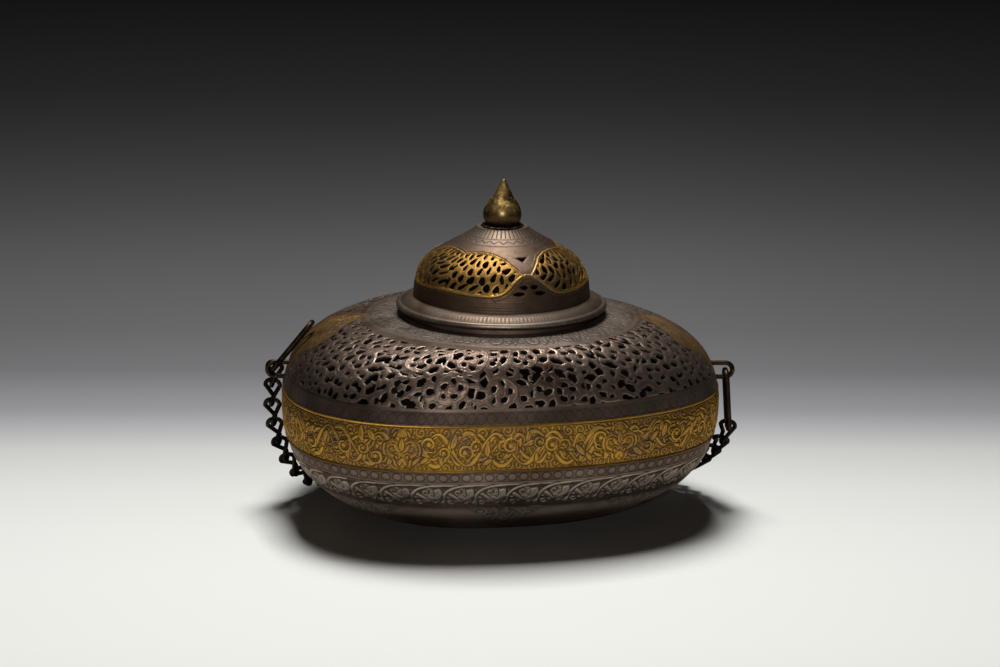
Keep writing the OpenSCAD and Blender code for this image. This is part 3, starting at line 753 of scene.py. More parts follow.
class MakeLowerBowl(Maker):
    """Lower bowl: chased sides in three arcs, and the plain base with the foot"""
    bl_idname = "bowl.make_lower"
    bl_label = "Lower bowl"

    def make(self):
        b = bowl_sizes()
        p, n, share, length, up = bowl_grid(b, b.base_top, b.seam, 104, BAND_COLUMNS * 3 // 4)
        drop = up[-1:] - up
        pitch = 5.5
        beads, units = np.round(length[-8, 0] / pitch), np.round(length[60, 0] / LEAF_PITCH)
        bead = oval_beads(share * beads * pitch, drop - 2.8, pitch, 4.3, 3.9)
        in_row = drop < 5.1
        ring = line(bead, 0.26) * in_row
        scroll = Chasing(drop.shape)
        running_leaf(scroll, share * units * LEAF_PITCH, 13.1 - drop)
        in_band = smooth(6.1, 6.5, drop) * (1 - smooth(19.6, 20.0, drop))
        rules = any_of(line(drop - 0.5, 0.22), line(drop - 5.2, 0.22),
                       line(drop - 20.5, 0.24), line(drop - 21.8, 0.2))
        pendant, in_pendant = self.pendants(share, drop - 22.0)
        # Below the bands the sides grow slightly darker towards the bottom
        cut = any_of(in_band * any_of(scroll.cut, 0.62 * (1 - scroll.height)), ring * 0.9, rules * 0.8,
                     in_pendant * any_of(pendant.cut, 0.7 * (1 - pendant.height)),
                     0.05 * smooth(21.5, 30, drop) * (1 - in_pendant))
        # Painted sheen: the band under and between the pendants is painted lighter, standing for the
        # reflection of the lit floor
        rub = any_of(in_band * scroll.rub, 0.16 * fill(bead + 0.4) * in_row, 0.4 * line(drop - 5.8, 0.3),
                     0.6 * in_pendant * pendant.rub,
                     0.5 * smooth(22, 24, drop) * (1 - smooth(27, 36, drop)) * (1 - in_pendant))
        matt = smooth(20, 26, drop) * (1 - 0.8 * smooth(26, 37, drop))
        fade = smooth(0, 1.2, up) * smooth(0, 0.6, drop)
        height = (in_band * (0.44 * scroll.height - 0.16) - 0.16 * ring - 0.12 * rules
                  + in_pendant * (0.20 * pendant.height - 0.1)) * fade
        values = {"cut": cut * fade, "rub": rub * fade, "gilt": np.zeros_like(cut), "matt": matt}
        outer = p + height[..., None] * n
        sheet_pieces("lower_bowl_side", outer, n, b.wall, 14, ARC_COUNT, LOWER_BOWL, values)
        self.make_base(b)

    def pendants(self, share, below):
        """Three-cornered pendants under the bands: a rule along each edge and small scrolls inside.
        Also their mask."""
        number, pitch = 8, 76
        _, x = cell(share * number * pitch + pitch / 2, pitch)
        edge = np.abs(x) - (22.5 - below * 1.12)
        c = Chasing(below.shape)
        arabesque(c, x, below - 6.5, 640.0, 7.5)
        c.stroke(np.abs(edge + 0.9) - 0.45, 1.0, 0.4)
        return c, fill(edge, 0.3) * (below > 0)

    def make_base(self, b):
        """Plain base: rows from the middle of the foot out and up to the chased sides,
        then back along the inside."""
        count, inset, rise = 240, 0.985, np.array([0, 0, b.wall])
        t = even_angles(b, count)
        z = even_rows(b, 0.0, b.base_top, 12)
        wall_rows = skin(b, t[None, :], z[:, None])
        foot = wall_rows[0] * np.array([1, 1, 0])
        shares = np.linspace(0.1, 0.94, 9)[:, None, None]
        inner = wall_rows - b.wall * normals_of(wall_rows)
        inner[0] = foot * inset + rise
        inner_foot = foot[None] * inset * shares + rise
        rings = np.concatenate([foot[None] * shares, wall_rows, inner[::-1], inner_foot[::-1]])
        points = np.concatenate([rings.reshape(-1, 3), [[0, 0, 0], rise]])
        piece("lower_bowl_base", points, pole_faces(len(rings), count),
              LOWER_BOWL._replace(material="plain_steel"), None, CHASED_EDGE)


class MakeGiltBand(Maker):
    """Gilt band round the belly, in three arcs of relief scrollwork, with the row of ovals over it"""
    bl_idname = "bowl.make_band"
    bl_label = "Gilt band"

    def make(self):
        b = bowl_sizes()
        p, n, share, length, up = bowl_grid(b, b.seam, b.open_low - JOINT_DROP, 92, BAND_COLUMNS)
        high = np.interp(b.gilt_top, p[:, 0, 2], up[:, 0])
        mid, medals, shift, pitch = high / 2, 6, 0.078, 4.8
        apart = length / medals
        s = share * length + shift * length
        y, above = up - mid, up - high
        c = Chasing(up.shape)
        arabesque(c, s, y, length, mid - 2.0)
        lozenge_medal(c, s - np.round(s / apart) * apart, y, 9.8, mid - 1.2)
        border = any_of(line(np.abs(y) - mid + 0.7, 0.3), 0.5 * line(np.abs(y) - mid + 1.7, 0.18))
        in_field = 1 - smooth(mid - 1.9, mid - 1.5, np.abs(y))
        gilt = fill(above, 0.12)
        beads = np.round(length[-20, 0] / pitch)
        bead = oval_beads(share * beads * pitch, above - 3.1, pitch, 4.1, 5.0)
        strip = smooth(0.0, 0.3, above)
        ring = line(bead, 0.22) * strip * (above < 5.9)
        rules = any_of(line(above - 0.35, 0.2), line(above - 6.1, 0.2)) * strip
        relief = any_of(c.height * in_field, border)
        cut = any_of(0.95 * c.cut * in_field * gilt, 0.2 * gilt * (1 - relief),
                     ring, rules * 0.8, 0.6 * strip)
        rub = any_of(c.rub * in_field, border) * gilt
        fade = smooth(0, 0.5, up) * smooth(0, 0.8, up[-1:] - up)
        height = (b.relief * relief * gilt - 0.16 * ring - 0.12 * rules) * fade
        sheet_pieces("gilt_band", p + height[..., None] * n, n, b.wall, 10, ARC_COUNT, SHELL,
                     {"cut": cut, "rub": rub, "gilt": gilt})


# Pitch of the collar's hearts; places of the end panel's half width along X, and that half width;
# rings of holes round a medal as share of its radius, number, length, width and lean in degrees
HEART_PITCH = 21.0
PANEL_ALONG, PANEL_HALF = (64, 70, 76, 82, 87, 92, 97, 104, 112), (-3, 4, 10, 18, 24, 22, 17, 12, 9)
HOLE_RINGS = ((0.58, 5, 4.4, 2.7, 24), (1.44, 9, 6.0, 3.6, -52),
              (2.10, 12, 6.4, 3.9, 50), (2.75, 16, 6.2, 3.7, -46))


class MakeShoulder(Maker):
    """Pierced shoulder in four arcs: sawn openings round spirals, gilt end panels, and the chased collar"""
    bl_idname = "bowl.make_shoulder"
    bl_label = "Pierced shoulder"

    def make(self):
        b = bowl_sizes()
        p, n, share, length, up = bowl_grid(b, b.open_low - JOINT_DROP, b.collar, 112, OPEN_COLUMNS)
        x, y, z = p[..., 0], p[..., 1], p[..., 2]
        panel, to_end, staple_room = self.panel_edge(x, y), np.abs(x) / b.half_length, 9.5
        zone = np.minimum(np.minimum(up - 1.4, up[-1:] - up - 0.9), panel - 1.0)
        field, ribs, ring = self.openings(share, length, up, to_end)
        field = np.minimum(field, zone)
        for side, node in ((-1, "left_staple"), (1, "right_staple")):
            lo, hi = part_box(node)
            middle = Vector((lo + hi)) / 2 / MM
            away = np.hypot(y, z - middle[2]) + 1000 * (np.sign(x) != side)
            field = np.minimum(field, away - staple_room)
        steel = smooth(0.1, 0.6, zone)
        near_edge = np.exp(-(np.minimum(field, 0) / 0.5) ** 2) * (zone > 0.2)
        chased, on_panel = self.panel_scrolls(x, y, panel)
        rule, bead, gilt = self.panel_border(panel)
        cut = any_of(0.8 * ribs * (zone > 0.4) * (field < -0.25), rule, 0.6 * chased.cut * on_panel)
        rub = any_of(near_edge * 0.38, 0.6 * chased.rub * on_panel, 0.12 * ring * (zone > 0), bead)
        ends = smooth(0, 0.8, up) * smooth(0, 0.8, up[-1:] - up)
        height = (0.22 * (1 - near_edge) * steel + 0.12 * ring * steel
                  + 0.15 * chased.height * on_panel - 0.12 * cut) * ends
        values = {"cut": cut, "rub": rub * (1 - 0.45 * smooth(0.62, 0.95, to_end)), "gilt": gilt}
        pierced_pieces("pierced_shoulder", p + height[..., None] * n, n, field, b.wall, 4, SHELL, values)
        self.collar(b)

    def collar(self, b):
        """Collar from the openwork to the mouth ring, in two halves: rules, line-cut hearts,
        and the points of the end panels."""
        p, n, _, _, up = bowl_grid(b, b.collar, b.belly + b.rise, 66, 1008)
        x, y = p[..., 0], p[..., 1]
        reach, panel = np.hypot(x, y), self.panel_edge(x, y)
        rule, bead, gilt = self.panel_border(panel)
        hearts = np.round(TAU * 58 / 17)
        around = np.arctan2(y, x) / TAU * hearts * HEART_PITCH
        on_collar = smooth(0.5, 1.5, panel) * (reach > 50.4) * (reach < 66.2)
        rules = any_of(*[line(reach - at, 0.22) for at in (49.0, 50.0, 66.7, 67.7)]) * (panel > 0.5)
        cut = any_of(0.95 * self.hearts(around, (58.4 - reach) / 1.5) * on_collar, rules * 0.8, rule)
        # The collar is painted lighter all round: partly its greyer rubbed steel, partly a painted highlight
        # standing for the light from above
        rub = any_of(0.7 * smooth(0.5, 3, panel) * smooth(47, 51, reach) * (1 - smooth(62, 70, reach)), bead)
        ends = smooth(0, 0.8, up) * smooth(0, 1.2, up[-1:] - up)
        outer = p - (0.14 * cut * ends)[..., None] * n
        sheet_pieces("shoulder_collar", outer, n, b.wall, 8, 2, SHELL, {"cut": cut, "rub": rub, "gilt": gilt})

    def hearts(self, s, y):
        """Line-cut scroll of the collar: a heart of two leaves per pitch, spirals between hearts
        and a wave through them."""
        _, x = cell(s, HEART_PITCH)
        halves = [leaf(*turned(x, y + 3.2, 90 + k), 7.4, 5.0, 0.0, 0.6) for k in (-26, 26)]
        far = np.abs(x) - HEART_PITCH / 2
        return any_of(line(np.minimum(*halves), 0.6), line(np.hypot(x, y - 0.6) - 1.0, 0.5),
                      line(spiral(np.abs(x) - 6.8, y + 0.4, 2.2, 2.9, 1), 0.5),
                      line(stem(s, y, 3.6, HEART_PITCH, 0.0), 0.4) * (np.abs(x) > 4.4),
                      line(leaf(*turned(far, y + 3.2, 90), 6.4, 3.0), 0.56))

    def panel_border(self, panel):
        """Work along an end panel's edge: the rule cut inside it, the bead outside it, and the gilding."""
        bead = line(panel - 0.5, 0.3)
        return line(panel + 0.9, 0.22) * 0.7, bead, any_of(fill(panel, 0.5) * 0.6, bead * 0.9)

    def panel_scrolls(self, x, y, panel):
        """Scrollwork across an end panel, and the mask of the ground that it fills."""
        c = Chasing(x.shape)
        arabesque(c, y + 100 * np.sign(x), np.abs(x) - 86, 640.0, 17.0)
        return c, fill(panel + 2.0, 0.3)

    def panel_edge(self, x, y):
        """Distance outside the pointed gilt panel on each end; its half width follows listed places."""
        return (np.abs(y) - np.interp(np.abs(x), PANEL_ALONG, PANEL_HALF)) * 0.8

    def nearest_medals(self, share, length, up):
        """Distances from each point to its nearest medal centre and to the next one, its place from
        the nearest one, and that one's number. The centres stand in staggered rows, each moved by chance."""
        pitch, apart = 26.0, 16.5
        best, second = np.full(up.shape, 1e9), np.full(up.shape, 1e9)
        px, py, number = np.zeros(up.shape), np.zeros(up.shape), np.zeros(up.shape)
        for row in range(5):
            level = 9.6 + row * apart
            at = np.argmin(np.abs(up.mean(1) - level))
            count = np.round(length[at, 0] / pitch)
            place = share * count + 0.5 * (row % 2) + 0.17 * row
            for shift in (-1, 0, 1):
                k = np.round(place) + shift
                name = np.mod(k, count) + 60 * row
                dx = (place - k + 0.22 * (chance(name) - 0.5)) * length / count
                dy = up - level - 5.0 * (chance(name + 9) - 0.5)
                r = np.hypot(dx, dy)
                nearer = r < best
                second = np.where(nearer, best, np.minimum(second, r))
                best = np.where(nearer, r, best)
                px, py = np.where(nearer, dx, px), np.where(nearer, dy, py)
                number = np.where(nearer, name, number)
        return best, second, px, py, number

    def openings(self, share, length, up, towards_end):
        """Openings of the shoulder: each point belongs to its nearest medal centre, and sawn holes stand
        in rings round that centre, each ring leaning the other way. Positive inside a hole, in millimetres.
        Also the ribs cut between the holes and each medal's ring."""
        best, second, px, py, number = self.nearest_medals(share, length, up)
        draw = chance(number + 31)
        hand = np.where(draw > 0.5, 1.0, -1.0)
        ring_r = (6.2 + 1.3 * draw) * (1 + 0.07 * np.sin(3 * np.arctan2(py, px) + 9 * draw))
        a = np.arctan2(py, px) / TAU + draw
        small = 1 - 0.28 * smooth(0.55, 0.95, towards_end)
        holes = np.full(up.shape, -9.0)
        for i, (at_r, n, long, wide, lean) in enumerate(HOLE_RINGS):
            k, c = cell(a * n, 1.0)
            luck = chance(number * 3.1 + 41 * i + np.mod(k, n))
            more = chance(number * 1.7 + 23 * i + np.mod(k, n) + 5)
            tx = c * TAU * best / n
            ty = best - at_r * ring_r + 0.9 * (more - 0.5)
            lx, ly = turned(tx, ty, hand * lean + 50 * (luck - 0.5))
            size_of = (0.66 + 0.52 * more) * small
            long_of = long * size_of * (0.9 + 0.3 * luck)
            hole = sawn_hole(lx + long_of / 2, ly, long_of, wide * size_of, 0.3 + 0.4 * luck)
            holes = np.maximum(holes, -hole)
        on_ring, between = np.abs(best - ring_r), (second - best) / 2
        holes = np.minimum(np.minimum(holes, on_ring - 0.62), between - 0.4)
        eye = line(spiral(px, py, 1.5, 2.6, 1, draw), 0.17)
        ribs = any_of(eye, 0.6 * line(on_ring - 0.5, 0.13), line(holes + 0.95, 0.14),
                      0.7 * line(between, 0.14))
        return holes, ribs, line(on_ring, 0.35, 0.4)


# Radius of the hole for the finial's spigot
SPIGOT_BORE = 3.05


class MakeLid(Maker):
    """Lid: pierced dome with three gilt lobed fields in two halves, its flat top, and the turned brim"""
    bl_idname = "bowl.make_lid"
    bl_label = "Lid"

    def make(self):
        d = lid_sizes()
        rows, count = 114, 684
        r, z, run = self.side(d, rows)
        a = np.arange(count) / count * TAU - np.pi
        p = np.stack(np.broadcast_arrays(r[:, None] * np.cos(a), r[:, None] * np.sin(a), z[:, None]), -1)
        n = normals_of(p)
        delta = np.mod(np.degrees(a) + 90 - d.pattern_turn + 60, 120) - 60
        off = np.abs(delta)[None, :]
        x = np.radians(delta)[None, :] * r[:, None]
        up = np.broadcast_to(run[:, None], x.shape)
        level = lambda height: np.interp(height, z, run)
        field, bridge = self.fields(off, up, level)
        around = np.radians(delta + 60)[None, :] * 40 + 200 * (a[None, :] > 0)
        open_field = np.minimum(self.slits(around, up), field - 1.2)
        open_field = np.maximum(open_field, self.corner_leaves(x, up, level))
        outline = any_of(line(field - 0.4, 0.36), line(bridge, 0.34))
        second = any_of(line(field + 1.3, 0.2) * (off > 6), line(bridge + 1.2, 0.24))
        foot_lines = any_of(*[line(up - level(h), 0.17) for h in (113.6, 114.8, 116.0, 117.2, 118.6, 119.8)])
        arch = line(bridge + 2.6, 0.2) * (off < 24)
        flutes = self.flutes(a, up, level, r)
        near_edge = np.exp(-(np.minimum(open_field, 0) / 0.45) ** 2)
        gilt = any_of(fill(-(field + 0.1), 0.25) * 0.75, outline * 0.85, 0.5 * second)
        cut = any_of(line(field + 0.75, 0.25) * 0.7 * (off > 5), arch * 0.6, foot_lines * 0.55, flutes * 0.8)
        rub = any_of(outline, near_edge * 0.6 * (field > 0.6), 0.14 * (z[:, None] > 141) * (1 - flutes),
                     smooth(124, 136, z[:, None]) * 0.1)
        ends = smooth(0, 0.7, up) * smooth(0, 0.6, up[-1:] - up)
        height = (0.30 * outline + 0.12 * second - 0.14 * cut - 0.12 * near_edge) * ends
        pierced_pieces("lid_dome", p + height[..., None] * n, n, open_field, d.wall, 2,
                       Seat("lid_steel", "lid", "patinated_steel", "lid_dome"),
                       {"cut": cut, "rub": rub, "gilt": gilt})
        self.top_plate(d)
        self.brim()

    def fields(self, off, up, level):
        """Distance inside the gilt fields, from curves through listed places over the angle from a meeting
        of two fields, softened along it; and the distance to their low edge, which arches from each
        to the next."""
        fine = np.linspace(0, 60, 481)

        def over(places, heights):
            at = np.interp(fine, places, level(np.array(heights)))
            at = np.convolve(np.pad(at, 16, "reflect"), np.ones(33) / 33, "valid")
            slope = np.interp(off, fine, np.gradient(at, fine)) / (np.pi / 180 * 40)
            return (up - np.interp(off, fine, at)) / np.sqrt(1 + slope ** 2)

        low = over([0, 3, 7, 11, 15, 19, 25, 41, 55, 60],
                   [130.0, 129.7, 128.2, 125.8, 123.2, 121.3, 120.3, 120.5, 121.2, 121.4])
        top = over([0, 4, 8, 12, 17, 28, 40, 54, 60],
                   [128.6, 130.4, 132.6, 134.4, 136.2, 137.8, 138.2, 137.8, 137.2])
        return np.minimum(low, -top), low

    def side(self, d, rows):
        """Side of the dome: a round lower curve to the turn and a nearly straight cone, both cubic,
        at even distances."""
        def cubic(a, b, c, e, f):
            return a * (1 - f) ** 3 + b * 3 * f * (1 - f) ** 2 + c * 3 * f * f * (1 - f) + e * f ** 3
        f = np.linspace(0, 1, 400)[:, None]
        foot, top = np.array([d.foot_r, d.foot_z]), np.array([d.top_r, d.top_z])
        bend = np.array([d.foot_r - d.turn_in, d.foot_z + d.turn_h])
        at_bend, at_top = d.turn_h * 0.3 * np.array([-0.75, 0.66]), d.turn_h * 0.3 * np.array([-0.72, 0.69])
        one = cubic(foot, foot + [0, d.turn_h * 0.5], bend - at_bend, bend, f)
        two = cubic(bend, bend + at_bend, top - at_top, top, f)
        path = np.concatenate([one, two[1:]])
        run = run_of(path)
        at = np.linspace(0, run[-1], rows)
        return np.interp(at, run, path[:, 0]), np.interp(at, run, path[:, 1]), at

    def slits(self, s, up):
        """Slanting leaf holes in staggered rows, each with its own length, width and tilt.
        Positive inside, in millimetres."""
        u, v = turned(s, up, 56)
        column, dv = cell(v + 0.8 * np.sin(u * 0.32), 4.2)
        row, du = cell(u + 2.8 * np.mod(column, 2) + 1.8 * chance(column), 5.7)
        luck, more = chance(row * 5.3 + column * 2.1), chance(row * 1.7 + column * 8.9)
        dv, du = dv + (luck - 0.5) * 0.9 * du, du + (more - 0.5) * 0.9
        long = 3.9 + 2.1 * luck
        k = np.clip(du / long + 0.5, 0, 1)
        half = (0.95 + 0.85 * more) * np.sin(np.pi * k) ** 0.3 * (1.3 - 0.6 * k)
        return half - np.abs(dv)

    def corner_leaves(self, x, up, level):
        """The four leaf holes under each meeting of two fields, and the three-cornered hole over it."""
        out = np.full(x.shape, -9.0)
        for side in (-1, 1):
            for at_x, at_z, lean, length, wide in ((0.5, 124.5, 2, 4.4, 2.3), (2.4, 121.7, -2, 6.3, 2.2)):
                lx, ly = turned(x * side - at_x, up - level(at_z), lean)
                out = np.maximum(out, -leaf(lx, ly, length, wide))
        rise = up - level(136.2)
        three = np.minimum(1.2 - rise, (rise + 2.4) * 0.75 - np.abs(x) * 0.8)
        return np.maximum(out, three)

    def flutes(self, a, up, level, r):
        """Radial flutes under the finial with a row of chevrons below them."""
        flutes, chevrons = 44, 26
        _, x = cell(a[None, :] / TAU * flutes, 1.0)
        fluted = line(x * TAU * r[:, None] / flutes, 0.2) * smooth(level(143.4), level(144.0), up)
        _, c = cell(a[None, :] / TAU * chevrons, 1.0)
        in_row = (up > level(141.2)) * (up < level(143.2))
        chevron = line(np.abs(up - level(142.2) + 1.1 - np.abs(c) * 4.0), 0.24) * in_row
        rules = any_of(line(up - level(140.8), 0.18), line(up - level(143.3), 0.18))
        return any_of(fluted * 0.9, chevron, rules)

    def top_plate(self, d):
        """Flat top of the dome, a ring from the spigot's hole to the dome's edge, as thick as the sheet."""
        r = np.array([SPIGOT_BORE, d.top_r - 0.6, d.top_r, SPIGOT_BORE])
        z = np.array([d.top_z - d.wall, d.top_z - d.wall, d.top_z, d.top_z])
        turned_piece("lid_dome_top", r, z, 96,
                     Seat("plain_steel", "lid", "patinated_steel", "lid_dome"), None, 40)

    def brim(self):
        """Brim: a flared profile with a rolled edge, with fine strokes chased near the edge."""
        count, strokes_round, foot_r = 480, 170, 44.35
        roll_r, roll_z, roll = 50.95, 107.4, 1.68
        flare = np.linspace(0, 1, 26)[1:]
        fr = foot_r + (roll_r - 0.55 - foot_r) * flare
        fz = 112.1 - 1.0 * flare - 2.1 * flare ** 2.2
        edge = np.radians(np.linspace(100, -150, 26))
        er, ez = roll_r + roll * np.cos(edge), roll_z + roll * np.sin(edge)
        under_r = np.array([49.6, 48.4, 47.1, 46.0, 44.2])
        under_z = np.array([107.9, 109.0, 109.95, 110.0, 110.0])
        r = np.concatenate([[44.2, 44.25], fr, er, under_r])[::-1].copy()
        z = np.concatenate([[111.4, 112.15], fz, ez, under_z])[::-1].copy()
        a = np.linspace(0, TAU, count, endpoint=False)
        rr, aa = np.broadcast_arrays(r[:, None], a[None, :])
        top = (z[:, None] > roll_z + 0.9)
        _, c = cell(aa / TAU * strokes_round, 1.0)
        strokes = line(c * TAU * 48 / strokes_round, 0.26) * (np.abs(rr - 48.8) < 1.3) * top
        rules = any_of(line(rr - 47.0, 0.18), line(rr - 50.4, 0.16)) * top
        cut = any_of(strokes * 0.6, rules * 0.55)
        rub = np.exp(-((z[:, None] - (roll_z + 0.4)) / 0.7) ** 2) * (rr > 51.6) + 0.24 * top + 0 * aa
        turned_piece("lid_brim_flare", r, z, count, Seat("lid_steel", "lid", "patinated_steel", "lid_brim"),
                     {"cut": cut, "rub": rub * 0.8, "gilt": np.zeros(rr.shape)}, 60)


class MakeFinial(Maker):
    """Finial: a cast onion with a leaning spire, on a scalloped brass ring"""
    bl_idname = "bowl.make_finial"
    bl_label = "Finial"

    def make(self):
        places = np.array([
            [0.0, 142.2], [3.0, 142.2], [3.0, 147.6], [6.4, 147.7], [7.9, 148.3], [8.9, 149.6],
            [9.4, 151.2], [9.6, 153.2], [9.2, 155.2], [8.3, 157.2], [7.1, 159.0], [5.6, 160.8],
            [4.7, 162.4], [3.7, 164.6], [2.5, 167.0], [1.3, 169.2], [0.55, 170.2], [0.0, 170.45]])
        span = run_of(places)
        even = np.linspace(0, span[-1], 110)
        r, z = np.interp(even, span, places[:, 0]), np.interp(even, span, places[:, 1])
        soft = np.convolve(np.pad(r, 2, "edge"), np.ones(5) / 5, "valid")
        r = np.where((z > 149) & (z < 169.5), soft, r)

        def dent(a, height):
            """A cast fold on the left under the spire, and a few flat places."""
            fold = np.exp(-((height - 160.6) / 0.9) ** 2) * np.exp(-((np.mod(a, TAU) - np.pi) / 0.9) ** 2)
            return (0.75 * fold + 0.10 * np.sin(3 * a + height * 0.4)) * (height > 149)

        turned_piece("finial_cast", r, z, 96, Seat("finial_brass", "lid", "brass", "finial"), None, 60, dent,
                     lambda h: 0.55 * smooth(158, 170, h))
        profile_r = np.array([SPIGOT_BORE, 9.8, 10.3, 10.5, 10.3, 9.6, SPIGOT_BORE])
        profile_z = np.array([146.82, 146.82, 147.0, 147.3, 147.6, 147.8, 147.8])
        turned_piece("finial_ring_scalloped", profile_r, profile_z, 192,
                     Seat("link_bronze", "lid", "brass", "finial_ring"), None, 50,
                     lambda a, h: 0.28 * np.cos(14 * a) * (h < 147.7) * (h > 146.9))


# Finishes of the solids that keep their CAD shape, by the first of these words that a node's name has
SOLID_FINISHES = (("long_link", "link_bronze"), ("staple", "link_bronze"), ("link", "chain_iron"),
                  ("sleeve", "chain_iron"), ("rove", "chain_iron"), ("washer", "chain_iron"),
                  ("", "plain_steel"))


class DressSolids(Maker):
    """Materials of the pieces that keep their CAD shape: chain, links, staples and inner fittings"""
    bl_idname = "bowl.dress_solids"
    bl_label = "Chain and fittings"

    def make(self):
        for name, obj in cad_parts.items():
            finish = next(look for word, look in SOLID_FINISHES if word in name)
            obj.data.materials.clear()
            obj.data.materials.append(bpy.data.materials[finish])


class MakeFinishes(Maker):
    """Materials of the bowl: chased and plain steel, brass, bronze and iron"""
    bl_idname = "bowl.make_finishes"
    bl_label = "Finishes"

    def make(self):
        chased_steel("chased_steel", colour("steel"), colour("rust"), 0.32)
        chased_steel("lid_steel", colour("lid_steel"), colour("lid_rust"), 0.39)
        plain_steel()
        # The finial's last two values are the heights of its painted shade
        for name, tone, dark, *rest in (("finial_brass", "brass", 0.12, 0.38, 90, 0.7, (0.1520, 0.1580)),
                                        ("link_bronze", "bronze", 0.25, 0.45, 110, 0.35),
                                        ("chain_iron", "iron", 0.3, 0.5, 130, 0.3)):
            bright, low = [tuple(min(1, k * c) for c in colour(tone)) for k in (1.9, dark)]
            old_metal(name, colour(tone), bright, low, *rest)


# Painted falloff of light on the floor: its greys by the share of its depth, after its own colour at 0. They
# were worked out from tones measured down the photograph's backdrop.
FLOOR_PAINTED_FALLOFF = ((0.045, 0.83), (0.075, 0.78), (0.106, 0.70), (0.139, 0.56), (0.16, 0.39), (0.177, 0.27),
               (0.218, 0.155), (0.266, 0.123), (0.38, 0.10), (0.445, 0.085), (0.525, 0.075), (0.618, 0.067),
               (0.723, 0.064), (0.855, 0.075), (1.0, 0.084))


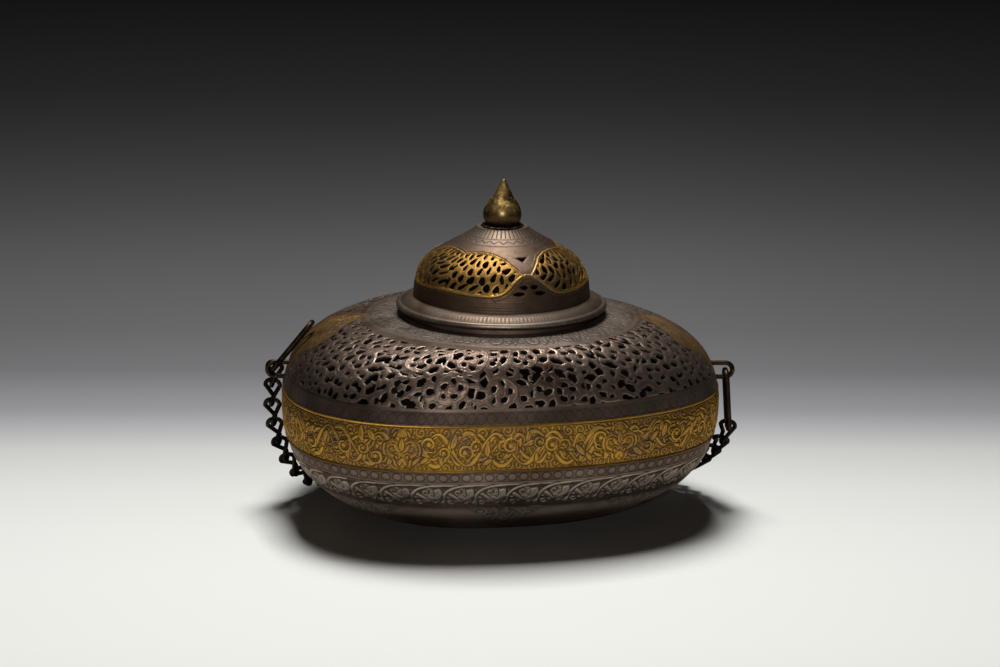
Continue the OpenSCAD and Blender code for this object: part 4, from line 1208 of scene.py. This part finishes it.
class MakeStage(Maker):
    """Camera, pale floor with the falloff of light painted into the distance, and soft studio light"""
    bl_idname = "bowl.make_stage"
    bl_label = "Stage"

    def make(self):
        scene = bpy.context.scene
        scene.view_settings.view_transform = "Standard"
        self.camera(scene)
        self.floor()
        self.lamps(scene)

    def camera(self, scene):
        """Camera at the photograph's place: 2.24 degrees left of the front and 13.76 above the horizon."""
        azimuth, elevation, roll, distance = math.radians(-2.24), math.radians(13.76), math.radians(0.66), 1.4
        level = math.cos(elevation)
        back = Vector((math.sin(azimuth) * level, -math.cos(azimuth) * level, math.sin(elevation)))
        right = Vector((math.cos(azimuth), math.sin(azimuth), 0))
        aim = right * -0.00052 + Vector((0, 0, 0.09172))
        data = bpy.data.cameras.new("camera")
        data.lens, data.sensor_width, data.sensor_fit = 100.6, 36.0, "HORIZONTAL"
        data.clip_start, data.clip_end = 0.05, 50
        obj = bpy.data.objects.new("camera", data)
        turn_to = (-back).to_track_quat("-Z", "Y").to_matrix().to_4x4() @ Matrix.Rotation(roll, 4, "Z")
        obj.matrix_world = Matrix.Translation(aim + back * distance) @ turn_to
        scene.collection.objects.link(obj)
        scene.camera = obj

    def floor(self):
        """Floor: one wide sheet, pale round the bowl, with the falloff of light painted darker behind it and
        painted shade beyond the picture's sides.
        """
        s, shader = new_material("floor")
        place = s.node("TexCoord", output="Object")
        depth = s.node("SeparateXYZ", None, {0: place}, 1)
        across = s.node("SeparateXYZ", None, {0: place}, 0)
        grey = lambda v: (v, v, v * (0.955 if v > 0.5 else 1.03))
        stops = [(0.0, colour("floor")), *[(at, grey(v)) for at, v in FLOOR_PAINTED_FALLOFF]]
        # Painted falloff of light: the floor's colour darkens with depth
        far = s.node("ValToRGB", {"stops": stops}, {0: (depth + 0.2) / 2.2})
        # Painted shade: beside and in front of the bowl, beyond the picture's sides, the floor is painted
        # nearly black
        painted_side_shade = s.math("ABSOLUTE", across).step(0.30, 0.62) * (1 - depth.step(0.15, 0.35)) * 0.8
        final = painted_side_shade.mix(far, (0.02, 0.02, 0.022))
        connect(s, shader, Base_Color=final, Roughness=0.75, Specular_IOR_Level=0.2)
        xs, ys = np.linspace(-4000, 4000, 9), np.linspace(-3000, 6000, 10)
        gx, gy = np.meshgrid(xs, ys)
        pts = np.stack([gx, gy, np.full_like(gx, -0.05)], -1)
        obj = piece("floor", pts.reshape(-1, 3), grid_faces(len(ys), len(xs)),
                    Seat("floor", None, None, None))

    def lamps(self, scene):
        """One soft lamp above and a little behind, a narrow one from the front on the bowl alone,
        and a dim even sky."""
        def place(data, at, to):
            obj = bpy.data.objects.new(data.name, data)
            way = Vector(to) - Vector(at)
            obj.matrix_world = Matrix.Translation(at) @ way.to_track_quat("-Z", "Y").to_matrix().to_4x4()
            scene.collection.objects.link(obj)

        top_light = bpy.data.lights.new("top_light", "AREA")
        top_light.shape, top_light.size, top_light.size_y, top_light.energy = "RECTANGLE", 0.42, 0.54, 17.6
        place(top_light, (-0.05, 0.2, 1.2), (0, 0, 0.05))
        front_light = bpy.data.lights.new("front_light", "SPOT")
        front_light.energy, front_light.shadow_soft_size = 40, 0.04
        front_light.spot_size, front_light.spot_blend = math.radians(10.6), 1.0
        place(front_light, (-0.15, -1.5, 0.5), (0, 0, 0.13))
        world = bpy.data.worlds.new("studio")
        scene.world = world
        world.use_nodes = True
        sky = world.node_tree.nodes["Background"]
        sky.inputs["Color"].default_value = (0.9, 0.95, 1.0, 1)
        sky.inputs["Strength"].default_value = 0.008


class BowlPanel(bpy.types.Panel):
    """Buttons for each group of pieces, and the sizes and colours that they use"""
    bl_idname = "BOWL_PT_looks"
    bl_label = "Begging bowl"
    bl_space_type = "VIEW_3D"
    bl_region_type = "UI"
    bl_category = "Begging bowl"

    def draw(self, context):
        for maker in MAKERS:
            self.layout.operator(maker.bl_idname)
        for group, kind in (("bowl_sizes", BowlSizes), ("lid_sizes", LidSizes),
                            ("metal_colours", MetalColours)):
            box = self.layout.box()
            for key in kind.__annotations__:
                box.prop(getattr(context.scene, group), key)


MAKERS = (MakeStage, MakeFinishes, DressSolids, MakeLowerBowl, MakeGiltBand, MakeShoulder,
          MakeLid, MakeFinial)
CLASSES = (BowlSizes, LidSizes, MetalColours, *MAKERS, BowlPanel)


def register():
    for kind in CLASSES:
        bpy.utils.register_class(kind)
    bpy.types.Scene.bowl_sizes = PointerProperty(type=BowlSizes)
    bpy.types.Scene.lid_sizes = PointerProperty(type=LidSizes)
    bpy.types.Scene.metal_colours = PointerProperty(type=MetalColours)


def unregister():
    del bpy.types.Scene.bowl_sizes, bpy.types.Scene.lid_sizes, bpy.types.Scene.metal_colours
    for kind in reversed(CLASSES):
        bpy.utils.unregister_class(kind)


def main():
    register()
    bpy.ops.bowl.make_stage()
    bpy.ops.bowl.make_finishes()
    bpy.ops.bowl.dress_solids()
    bpy.ops.bowl.make_lower()
    bpy.ops.bowl.make_band()
    bpy.ops.bowl.make_shoulder()
    bpy.ops.bowl.make_lid()
    bpy.ops.bowl.make_finial()


if __name__ == "__main__":
    main()
